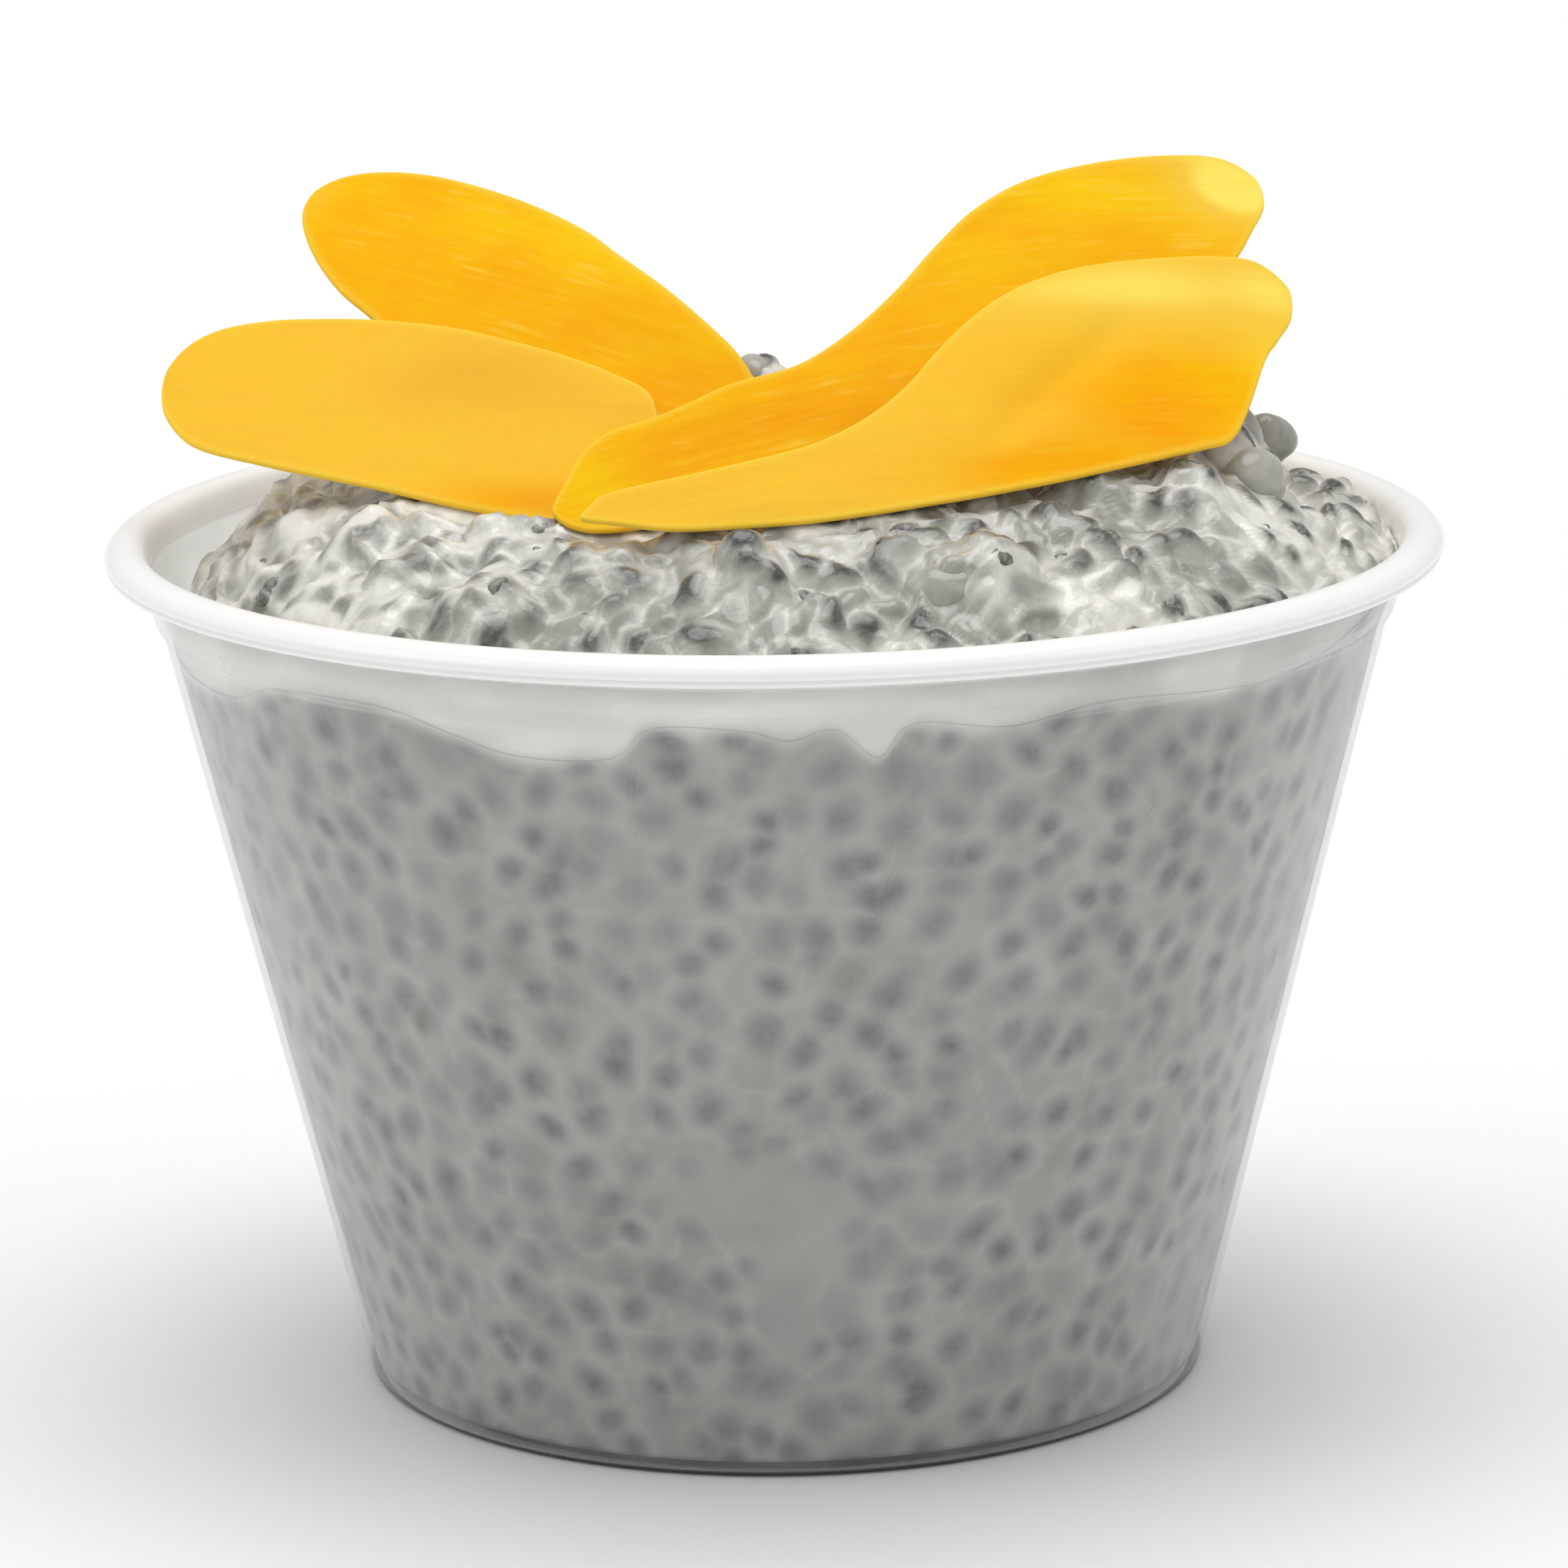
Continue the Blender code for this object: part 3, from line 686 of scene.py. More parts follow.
def mango_finish(mango):
    """Ripe mango: deep to yellow flesh by the tone mark, pale by the milky mark.

    Fine fibres and pale threads run along the slice, the cut edges are pale as a painted
    highlight, the underside is paler, and milky marks above 1 are painted light.
    """
    finish = Finish("mango_flesh", 0.5, 0.02)
    along, across, milky = (finish.mark(name) for name in ("along", "across", "milky"))
    place = finish.millimetres()

    def drawn_out(stretch, level):
        """Coordinates for noise that is long along the slice."""
        return finish.add("ShaderNodeCombineXYZ", {
            0: finish.product(along, stretch), 1: across, 2: level}).outputs[0]

    fibre = finish.noise(drawn_out(0.08, 0.0), 0.55, 3.0, 0.6)
    shade = finish.span(fibre, 0.3, 0.7, -0.14, 0.14, False)
    shade = finish.math("ADD", finish.mark("tone"), shade)
    cloud = finish.blotches(place, 5.0, 3.0, -0.16, 0.16, False)
    shade = finish.math("ADD", shade, cloud, True)
    colour = finish.mix(shade, mango.deep_colour, mango.yellow_colour)
    colour = finish.mix(finish.math("MINIMUM", milky, 1.0), colour, mango.pale_colour)
    # Milky marks above 1 blend to painted light: thin tips lit through and the lit upper
    # front right slice
    colour = finish.mix(finish.span(milky, 1.0, MOST_LIT), colour, mango.lit_flesh_colour)
    thread = finish.span(finish.noise(drawn_out(0.09, 7.0), 0.45), 0.50, 0.74)
    thread = finish.product(thread, finish.span(finish.noise(place, 4.0), 0.42, 0.64))
    thread = finish.product(thread, finish.mark("threads"))
    colour = finish.mix(thread, colour, mango.fibre_colour)
    colour = finish.mix(finish.mark("olive"), colour, OLIVE_COLOUR)
    # Paler band along the outline: painted highlight on the rounded cut edges
    edge = finish.span(finish.mark("border"), 0.85, 0.15, 0.0, 0.5)
    colour = finish.mix(edge, colour, mango.edge_highlight_colour)
    under = finish.product(finish.mark("under"), 0.6)
    finish.set("Base Color", finish.mix(under, colour, UNDERSIDE_COLOUR))
    finish.set("Subsurface Weight", 0.12)
    finish.set("Subsurface Radius", (1.0, 0.45, 0.05))
    finish.set("Subsurface Scale", 1.2 * MM)
    finish.bump(fibre, 0.06, 0.4)
    return finish.material


# Cup

def cup_profile():
    """Half section of the cup as (radius, z), from the inner floor round to the foot.

    Straight stretches keep their end points. The corners are quarter turns, and the
    rim is a smooth curve over its flange and rolled lip.
    """
    foot_inner = BASE_RADIUS - FOOT_RING_WIDTH
    inside_z = np.concatenate([np.linspace(FLOOR_TOP + 0.7, STEP_BOTTOM, 26),
                               np.linspace(STEP_BOTTOM, STEP_TOP, 6)[1:],
                               np.linspace(STEP_TOP, WALL_TOP - 0.2, 6)[1:]])
    inside = np.stack([inner_radius(inside_z), inside_z], -1)
    corner = smooth_curve([
        (foot_inner, FLOOR_TOP), (inner_radius(FLOOR_TOP) - 0.6, FLOOR_TOP),
        (inner_radius(FLOOR_TOP + 0.25) - 0.12, FLOOR_TOP + 0.2), tuple(inside[0])], 5)[:-1]
    rim = [(RIM_RADIUS - inwards, RIM_TOP - down) for inwards, down in RIM_PROFILE]
    rim = smooth_curve([tuple(inside[-1])] + rim, 5)
    outside_z = np.concatenate([np.linspace(WALL_TOP - 0.5, STEP_TOP, 6),
                                np.linspace(STEP_TOP, STEP_BOTTOM, 6)[1:],
                                np.linspace(STEP_BOTTOM, 1.0, 26)[1:]])
    outside = np.stack([inner_radius(outside_z) + wall_thickness(), outside_z], -1)
    foot = smooth_curve([
        tuple(outside[-1]), (outer_radius(0.45) - 0.04, 0.45), (BASE_RADIUS - 0.28, 0.1),
        (BASE_RADIUS - 0.7, 0.0), (foot_inner + 0.5, 0.0), (foot_inner, 0.15),
        (foot_inner - 0.5, FOOT_RECESS - 0.1), (foot_inner - 1.2, FOOT_RECESS)], 5)[1:]
    middle = np.array([(foot_inner * 0.5, FOOT_RECESS)])
    start = np.array([(foot_inner * 0.5, FLOOR_TOP)])
    return np.vstack([start, corner, inside, rim[1:], outside, foot, middle])


class MakeCup(bpy.types.Operator):
    """Turn the cup's half section round the Z axis"""

    bl_idname = "dessert.make_cup"
    bl_label = "Make Cup"

    def execute(self, context):
        profile = cup_profile()
        angle = np.linspace(0.0, 2.0 * math.pi, CUP_COLUMNS, endpoint=False)
        rings = place_round(profile[:, :1], angle, profile[:, 1:])
        poles = (0.0, 0.0, FLOOR_TOP), (0.0, 0.0, FOOT_RECESS)
        material = plastic_finish(context.scene.dessert.cup)
        piece = add_piece("cup_clear", *rolled_surface(rings, *poles), material)
        settle(piece, "clear_plastic", "cup")
        return {"FINISHED"}


# Mango slices

def slice_axes(spec):
    """Rotation from a slice's plane to the world, as a 3 by 3 array."""
    turn, lean, swing = (math.radians(spec[key]) for key in ("turn", "lean", "swing"))

    def about_z(angle):
        return np.array([[math.cos(angle), -math.sin(angle), 0.0],
                         [math.sin(angle), math.cos(angle), 0.0],
                         [0.0, 0.0, 1.0]])

    tilt = np.array([[1.0, 0.0, 0.0],
                     [0.0, math.cos(lean), -math.sin(lean)],
                     [0.0, math.sin(lean), math.cos(lean)]])
    return about_z(turn) @ tilt @ about_z(swing)


def slice_point(spec, a, b, offset):
    """World point at (a, b) of a slice's bent middle surface, moved along its normal.

    The surface is a parabola along a, highest at the crown.
    """
    bend = bpy.context.scene.dessert.mango.bend_radius / MM
    drop = -(a - spec["crown"]) ** 2 / (2.0 * bend)
    slope = (a - spec["crown"]) / bend
    size = np.sqrt(1.0 + slope ** 2)
    local = np.stack([a + offset * slope / size, b, drop + offset / size], -1)
    return np.array(spec["origin"]) + local @ slice_axes(spec).T


SLICE_STATIONS = 170
SLICE_ACROSS = 44
SLICE_LENGTH = 48.0          # about, to measure the distance from a tip
SLICE_FACE = 0.85            # upper face over the middle surface
SLICE_EDGE_ROUND = 0.3
EDGE_THICKNESS = 0.45        # the underside rises so that the cut edges are thinner
EDGE_TAPER = 5.5
LOWER_EDGE_OUT = 0.4         # keeps the seen lower edge in place, now that it is thin
BED_CLEARANCE = 0.06         # gap between a slice and its bed in the mound
CREASE_START = (14.7, 2.5)   # crease of the front right slice, a line in its plane
CREASE_SLOPE = 0.72
CREASE_WIDTH = 1.845
OLIVE_PLACE = (-11.6, 10.6)  # olive patch of the front left slice
OLIVE_SIZE = (7.0, 3.6)


def slice_outline(spec):
    """Upper and lower edge of a slice from its left tip to its right tip."""
    above, below = spec["upper"], spec["lower"]
    upper = smooth_curve(above, before=below[1], after=below[-2])
    lower = smooth_curve(below, before=above[1], after=above[-2])
    share = np.linspace(0.0, 1.0, len(lower))
    away_from_tips = smooth_step(share, 0.0, 0.3) * (1.0 - smooth_step(share, 0.8, 1.0))
    lower[:, 1] -= LOWER_EDGE_OUT * away_from_tips
    return upper, lower


def underside(border):
    """Offset of a slice's underside at a distance from its outline."""
    thickness = bpy.context.scene.dessert.mango.thickness / MM
    rise = SLICE_FACE + thickness / 2 - EDGE_THICKNESS
    return rise * (1.0 - smooth_step(border, 0.0, EDGE_TAPER)) - thickness / 2


def slice_bed(spec, x, y):
    """Height that a slice leaves free over (x, y), and how far inside its outline that is.

    The plane's (a, b) come from (x, y) by a few rounds of fixed-point steps, because
    the surface is bent only gently. Inside, the height is that of the underside.
    Outside, it climbs ever faster away from the edge.
    """
    bend = bpy.context.scene.dessert.mango.bend_radius / MM
    axes = slice_axes(spec)
    origin = np.array(spec["origin"])
    across = np.linalg.inv(axes[:2, :2])
    upper, lower = slice_outline(spec)
    drop = np.zeros_like(x)
    for _ in range(8):
        flat = np.stack([x - origin[0] - axes[0, 2] * drop,
                         y - origin[1] - axes[1, 2] * drop], -1)
        plane = flat @ across.T
        a, b = plane[..., 0], plane[..., 1]
        border = np.minimum(b - np.interp(a, lower[:, 0], lower[:, 1]),
                            np.interp(a, upper[:, 0], upper[:, 1]) - b)
        border = np.minimum(border, np.minimum(a - upper[0, 0], upper[-1, 0] - a))
        drop = underside(border) - (a - spec["crown"]) ** 2 / (2.0 * bend)
    height = origin[2] + plane @ axes[2, :2] + axes[2, 2] * drop
    outside = np.maximum(-border, 0.0)
    return height + 0.15 * outside + 0.12 * outside ** 2, border


# Tone from deep orange (0) to yellow (1): a plain value, then patches as (a, b, along,
# across, amount) in the plane's millimetres
TONES = {
    "mango_slice_front_right": (0.46, (
        (22.0, 2.5, 8.0, 3.0, -0.22), (31.0, 6.0, 7.0, 4.0, -0.18),
        (27.0, 17.5, 9.0, 2.5, 0.30), (41.5, 14.0, 3.5, 5.0, 0.55))),
    "mango_slice_back_right": (0.50, (
        (-11.5, 5.0, 3.0, 5.0, 0.40), (6.0, 6.5, 9.0, 3.0, -0.34),
        (24.0, 18.0, 6.0, 2.0, 0.30), (36.0, 23.5, 9.0, 2.6, 0.50),
        (44.0, 21.0, 5.0, 4.0, 0.40), (32.0, 15.0, 8.0, 2.5, 0.10))),
    "mango_slice_front_left": (0.46, (
        (-11.6, 10.2, 6.0, 3.5, -0.10), (-5.5, -0.6, 6.0, 2.0, -0.25),
        (-33.0, 11.0, 4.0, 4.0, 0.06))),
    "mango_slice_back_left": (0.52, (
        (-33.0, 12.0, 3.0, 4.0, 0.22), (4.0, 1.5, 6.0, 4.0, -0.24),
        (-10.0, 13.5, 12.0, 2.2, 0.35), (-24.0, 6.0, 6.0, 3.0, -0.10))),
}

# Milkiness in the same way: 1 is pale flesh, and above 1 up to its top the colour
# turns to painted light, on the thin tips and the lit upper parts
MOST_LIT = 1.6
MILKINESS_AND_LIGHT = {
    "mango_slice_front_right": (0.74, (
        (34.0, 7.0, 11.0, 5.5, -1.05), (20.5, 0.8, 8.0, 2.6, -0.85),
        (44.5, 18.5, 3.2, 4.0, 0.45), (27.0, 18.0, 9.0, 3.0, 0.5),
        (37.0, 18.0, 8.0, 4.0, 0.5))),
    "mango_slice_back_right": (0.06, (
        (48.5, 23.5, 4.8, 4.2, 1.9), (40.0, 26.8, 9.0, 0.8, 0.6))),
    "mango_slice_front_left": (0.74, (
        (-11.6, 10.4, 5.5, 3.6, -0.15), (-6.0, -1.2, 7.0, 1.8, -0.6))),
    "mango_slice_back_left": (0.04, ((-34.0, 12.0, 1.5, 3.0, 0.4),)),
}


def slice_relief(name, a, b, border):
    """Height added to the upper face: slow waves, fibres along it, and a crease.

    It fades out over the rounded border.
    """
    relief = 0.16 * soft_noise(a, b * 1.6, 9.0, 31)
    relief += 0.035 * soft_noise(a, b * 9.0, 5.0, 33)
    relief += 0.02 * soft_noise(a, b * 16.0, 4.0, 35)
    if name == "mango_slice_front_right":
        fold = b - CREASE_START[1] - (a - CREASE_START[0]) * CREASE_SLOPE
        fades = smooth_step(a, 15.0, 20.0) * (1.0 - smooth_step(a, 29.0, 34.0))
        relief -= 0.5 * np.exp(-(fold / CREASE_WIDTH) ** 2) * fades
    return relief * smooth_step(border, 0.2, 2.2)


def slice_surface(name, spec):
    """Points, faces and marks of a slice.

    A section runs from the lower to the upper edge. The half thickness grows from the
    outline as a quarter circle, the underside sinks further inside, and each section is
    a ring of its upper face and its lower face back.
    """
    fractions = (1.0 - np.cos(np.linspace(0.0, math.pi, SLICE_STATIONS))) / 2.0
    upper, lower = (at_fractions(edge, fractions)[1:-1, None]
                    for edge in slice_outline(spec))
    across = (1.0 - np.cos(np.linspace(0.0, math.pi, SLICE_ACROSS))) / 2.0
    plane = lower + (upper - lower) * across[None, :, None]
    a, b = plane[..., 0], plane[..., 1]
    from_edge = np.minimum(across, 1.0 - across) * np.linalg.norm(upper - lower, axis=-1)
    from_tip = np.minimum(fractions, 1.0 - fractions)[1:-1, None] * SLICE_LENGTH
    border = np.minimum(from_edge, from_tip)
    depth = np.clip(border / SLICE_EDGE_ROUND, 0.0, 1.0)
    low = underside(border)
    half = (SLICE_FACE - low) / 2 * np.sqrt(1.0 - (1.0 - depth) ** 2)
    middle = (SLICE_FACE + low) / 2
    relief = slice_relief(name, a, b, border)
    top = slice_point(spec, a, b, middle + half + relief)
    bottom = slice_point(spec, a, b, middle - half)
    rings = np.concatenate([top, bottom[:, -2:0:-1]], axis=1)
    tips = [slice_point(spec, np.array(tip[0]), np.array(tip[1]),
                        SLICE_FACE - EDGE_THICKNESS / 2)
            for tip in (spec["upper"][0], spec["upper"][-1])]
    points, faces = rolled_surface(rings, *tips)

    def on_faces(upper_face, lower_face):
        """A value for each point, from those of the upper and of the lower face."""
        ring = np.concatenate([upper_face, lower_face[:, -2:0:-1]], axis=1)
        return np.append(ring.ravel(), [upper_face[0, 0], upper_face[-1, 0]])

    olive = 0.8 * (name == "mango_slice_front_left")
    both = {
        "along": a,
        "across": b,
        "border": border,
        "tone": patched(TONES, name, a, b) + 0.05 * soft_noise(a, b * 4.0, 9.0, 21),
        "milky": np.clip(patched(MILKINESS_AND_LIGHT, name, a, b), 0.0, MOST_LIT),
        "olive": olive * np.exp(-patch(a, b, OLIVE_PLACE, OLIVE_SIZE)),
        "threads": np.full_like(a, 0.42 if "back" in name else 0.12),
    }
    marks = {key: on_faces(values, values) for key, values in both.items()}
    marks["under"] = on_faces(np.zeros_like(a), np.ones_like(a))
    return points, faces, marks


class MakeMangoSlices(bpy.types.Operator):
    """Loft the four slices of mango between their edges"""

    bl_idname = "dessert.make_mango_slices"
    bl_label = "Make Mango Slices"

    def execute(self, context):
        material = mango_finish(context.scene.dessert.mango)
        for name, spec in SLICES.items():
            points, faces, marks = slice_surface(name, spec)
            flesh = name.replace("slice", "flesh")
            settle(add_piece(flesh, points, faces, material, marks), "mango", name)
        return {"FINISHED"}


# Pudding

def read_curve(points, angle):
    """Value at an angle on a smooth curve through points of (angle, value)."""
    line = smooth_curve(points, 12)
    return np.interp(angle, line[:, 0], line[:, 1])


def wall_line(angle):
    """Height at which the pudding leaves the wall, smoothed, at angles in degrees."""
    return read_curve(WALL_LINE, angle)


def film_and_rim_shadow(degrees, z):
    """How thick the milk film looks, from 0 below the wall line to 1 above it, less under
    the flange as a painted shadow.
    """
    strength = np.clip(read_curve(FILM_STRENGTH, degrees), 0.0, 1.0)
    ragged = 0.5 * soft_noise(np.radians(degrees) * UNROLL_RADIUS, z, 2.5, 44)
    shown = smooth_step(z - wall_line(degrees) + ragged, -1.2, 0.9)
    # Less milk colour just under the flange: painted shadow of the rim on the wall
    return strength * shown * (1.0 - 0.25 * smooth_step(z, 57.3, 58.2))


def side_blend(angle, start, end, back_start, back_end):
    """1 round one side of the cup, fading to 0 at the front and at the back."""
    return smooth_step(angle, start, end) * (1 - smooth_step(angle, back_start, back_end))


def dome(x, y):
    """Height of the mound without lumps, and how far out (x, y) is, from 0 to 1.

    It is a flat-topped dome, level with the wall line at the wall, plus a broad heap
    behind the middle, a hump on the right, and the low shelf beside that.
    """
    angle = front_angle(x, y)
    right = side_blend(angle, 40, 85, 100, 140)
    left = side_blend(-angle, 45, 85, 120, 160)
    foot = 55.0 + 4.0 * right - 1.2 * left + smooth_step(np.abs(angle), 120, 170)
    top = MOUND_TOP + side_blend(angle, 40, 85, 125, 160) + 0.3 * left
    wall = outer_radius(foot) - wall_thickness()
    reach = np.clip(np.hypot(x, y) / (wall - GAP), 0.0, 1.0)
    height = foot + (top - foot) * (1.0 - reach ** 3) ** (0.75 - 0.05 * left)
    height += (wall_line(angle) - foot) * smooth_step(reach, 0.85, 1.0)
    height += HEAP_HEIGHT * np.exp(-((x - 3.0) / 22.0) ** 2 - ((y - 7.0) / 13.0) ** 2)
    height += HUMP_HEIGHT * np.exp(-((x - 29.0) ** 2 + (y - 1.0) ** 2) / 90.0)
    shelf = np.exp(-((x - SHELF_X) / SHELF_WIDTH) ** 2)
    shelf *= smooth_step(y, SHELF_FRONT, SHELF_FRONT + 12.0)
    height -= SHELF_DEPTH * shelf * (1.0 - smooth_step(reach, 0.93, 1.0))
    return height, reach


def neighbours(x, y, pitch, seed):
    """For each nearby place of a shaken staggered grid: offset from it, and its size.

    The draws are those of the solid model, so the same pitch and seed give the same
    places as there. Those of a small pitch lie on the wider flat map.
    """
    draw = np.random.default_rng(seed)
    edge = SCATTER_EDGE if pitch >= SEED_PITCH else MAP_SPREAD * SCATTER_EDGE
    rows = np.arange(-edge, edge, pitch * ROW_SPACING)
    columns = np.arange(-edge, edge, pitch)
    grid_x, grid_y = np.meshgrid(columns, rows)
    grid_x[1::2] += pitch / 2
    shake = draw.uniform(-0.32, 0.32, (2,) + grid_x.shape) * pitch
    grid_x, grid_y = grid_x + shake[0], grid_y + shake[1]
    sizes = draw.uniform(0.4, 1.0, grid_x.size).reshape(grid_x.shape)
    row = np.floor((y + edge) / (pitch * ROW_SPACING)).astype(int)
    column = np.floor((x + edge) / pitch).astype(int)
    for i in range(-2, 3):
        for j in range(-2, 3):
            at = (np.clip(row + i, 0, len(rows) - 1),
                  np.clip(column + j, 0, len(columns) - 1))
            yield x - grid_x[at], y - grid_y[at], sizes[at]


def bumps(x, y, pitch, radius, height, seed):
    """Highest of many round bumps over (x, y), each falling to 0 at the radius."""
    return np.max([height * size * (1.0 - smooth_step(np.hypot(dx, dy), 0.0, radius))
                   for dx, dy, size in neighbours(x, y, pitch, seed)], axis=0)


def mound_height(x, y):
    """Height of the mound with its lumps, clumps and soft bumps, but no fine relief."""
    height, reach = dome(x, y)
    fade = 1.0 - smooth_step(reach, 0.9, 1.0)
    height += fade * soft_patches(x, y, [
        (lump_x, lump_y, radius, radius, size) for lump_x, lump_y, radius, size in LUMPS])
    height += fade * bumps(x, y, CLUMP_PITCH, CLUMP_RADIUS, CLUMP_HEIGHT, 3)
    height += fade * bumps(x, y, SEED_PITCH, SEED_RADIUS, SEED_HEIGHT, 11)
    return height


def pearls(x, y, pitch, radius, seed):
    """Swollen seeds on a flat map, each a ball sunk by its own draw.

    Two neighbours meet in a sharp crease. Returns the height of the caps, the distance
    from the nearest centre as a share of that ball's radius, and the dark core, which
    is an oval turned by the draw and left out in the smallest seeds.
    """
    cap, core = np.zeros_like(x), np.zeros_like(x)
    nearest = np.full_like(x, np.inf)
    for dx, dy, size in neighbours(x, y, pitch, seed):
        own = radius * (0.55 + 0.55 * size)
        away = np.hypot(dx, dy) / own
        ball = np.sqrt(np.clip(1.0 - away ** 2, 0.0, 1.0))
        cap = np.maximum(cap, own * (ball - 0.72 + 0.32 * size))
        turn = size * 40.0
        long = (dx * np.cos(turn) + dy * np.sin(turn)) / own
        wide = (dy * np.cos(turn) - dx * np.sin(turn)) / own
        spot = 1.0 - smooth_step(np.hypot(long, 1.25 * wide), 0.26, 0.74)
        core = np.maximum(core, spot * smooth_step(size, 0.52, 0.66))
        nearest = np.minimum(nearest, away)
    return cap, nearest, core


def slope_distance(radius):
    """Distance from the axis measured over the mean dome instead of straight out.

    Returns it for the given radius, and the shares of the whole distance that belong
    to a row of shares of the whole radius.
    """
    share = np.linspace(0.0, 1.0, 400)
    height = MEAN_FOOT + (MOUND_TOP - MEAN_FOOT) * (1.0 - share ** 3) ** MEAN_POWER
    out = share * MEAN_RADIUS
    steps = np.hypot(np.diff(out), np.diff(height))
    distance = np.concatenate([[0.0], np.cumsum(steps)])
    return np.interp(radius, out, distance), distance / distance[-1], share


def lobes(x, y):
    """Large soft lobes on a flat map: balls that meet in creases, from 0 up."""
    cap = np.zeros_like(x)
    for dx, dy, size in neighbours(x, y, LOBE_PITCH, 29):
        away = np.hypot(dx, 1.25 * dy) / (LOBE_PITCH * (0.5 + 0.35 * size))
        cap = np.maximum(cap, size * np.sqrt(np.clip(1.0 - away ** 2, 0.0, 1.0)))
    return cap


def fine_relief(x, y):
    """Fine relief across the surface in millimetres, and the marks for the finish.

    Lobes carry swollen seeds on the right and in the middle. Flow ridges run round the
    slope on the left. All are drawn on a flat map of the slope.
    """
    radius, angle = np.hypot(x, y), front_angle(x, y)
    out = slope_distance(radius)[0]
    scale = out / np.maximum(radius, 0.001)
    map_x, map_y = x * scale, y * scale

    def noise(size, seed):
        """Soft noise over the map."""
        return soft_noise(map_x, map_y, size, seed)

    def bent(coordinate, seed):
        """A coordinate of the map, bent by noise of two sizes."""
        return coordinate + 0.8 * noise(2.6, seed) + 0.3 * noise(1.1, 10 * seed + 1)

    milky = smooth_step(noise(5.0, 5), 0.15, 0.8)
    seeded = 0.44 + 0.56 * smooth_step(angle, -50, 0)
    seeded = np.where(np.abs(angle) > 120, 1.0, seeded) * (1.0 - 0.65 * milky)
    bend_x, bend_y = bent(map_x, 6), bent(map_y, 7)
    pearl_radius = bpy.context.scene.dessert.pudding.pearl_size / MM
    cap, nearest, core = pearls(bend_x, bend_y, PEARL_PITCH, pearl_radius, 17)

    around = np.radians(angle) * UNROLL_RADIUS
    down = out + 2.0 * noise(10.0, 8) + 0.3 * noise(2.5, 18)
    flow = 1.0 - np.abs(soft_noise(around * 0.2, down, 1.3, 9))
    flowing = 1.0 - seeded
    relief = 0.9 * seeded * np.maximum(cap, 0.12 * noise(2.0, 12))
    relief += 0.8 * flowing * (flow ** 2 - 0.5)
    relief += (0.45 + 0.65 * seeded) * (lobes(bend_x, bend_y) - 0.5)
    relief += 0.28 * noise(2.2, 14) + 0.10 * noise(1.0, 10)

    ring = np.exp(-((nearest - 0.88) / 0.16) ** 2)
    milk_and_light = 0.27 + 0.50 * seeded * (ring - 0.38)
    milk_and_light += flowing * (1.3 * smooth_step(flow, 0.35, 0.95) - 0.52)
    milk_and_light += 0.22 * milky + 0.25 * noise(3.5, 13)
    # Paler towards the right, partly more milk and partly painted light, and a little paler
    # on the left
    milk_and_light += 0.46 * smooth_step(angle, 50, 70) + 0.16 * smooth_step(-angle, 15, 40)
    shade = soft_patches(x, y, SHADES)
    milk_and_light -= 0.35 * shade
    dark = 1.15 * core * (0.35 + 0.65 * np.maximum(seeded, shade)) * (1.0 - 0.6 * milky)
    return relief, {"core": dark, "milk_and_light": np.clip(milk_and_light, 0.0, 1.0)}


def square_to_disc(u, v):
    """Map the square -1..1 to the unit disc, ring by ring, with even spacing."""
    wide = np.abs(u) > np.abs(v)
    radius = np.where(wide, u, v)
    safe = np.where(radius == 0.0, 1.0, radius)
    angle = np.where(wide, (math.pi / 4) * (v / safe),
                     math.pi / 2 - (math.pi / 4) * (u / safe))
    return radius * np.cos(angle), radius * np.sin(angle)


def side_radius(z):
    """Radius of the pudding against the wall."""
    return contents_radius(z) + INTO_WALL


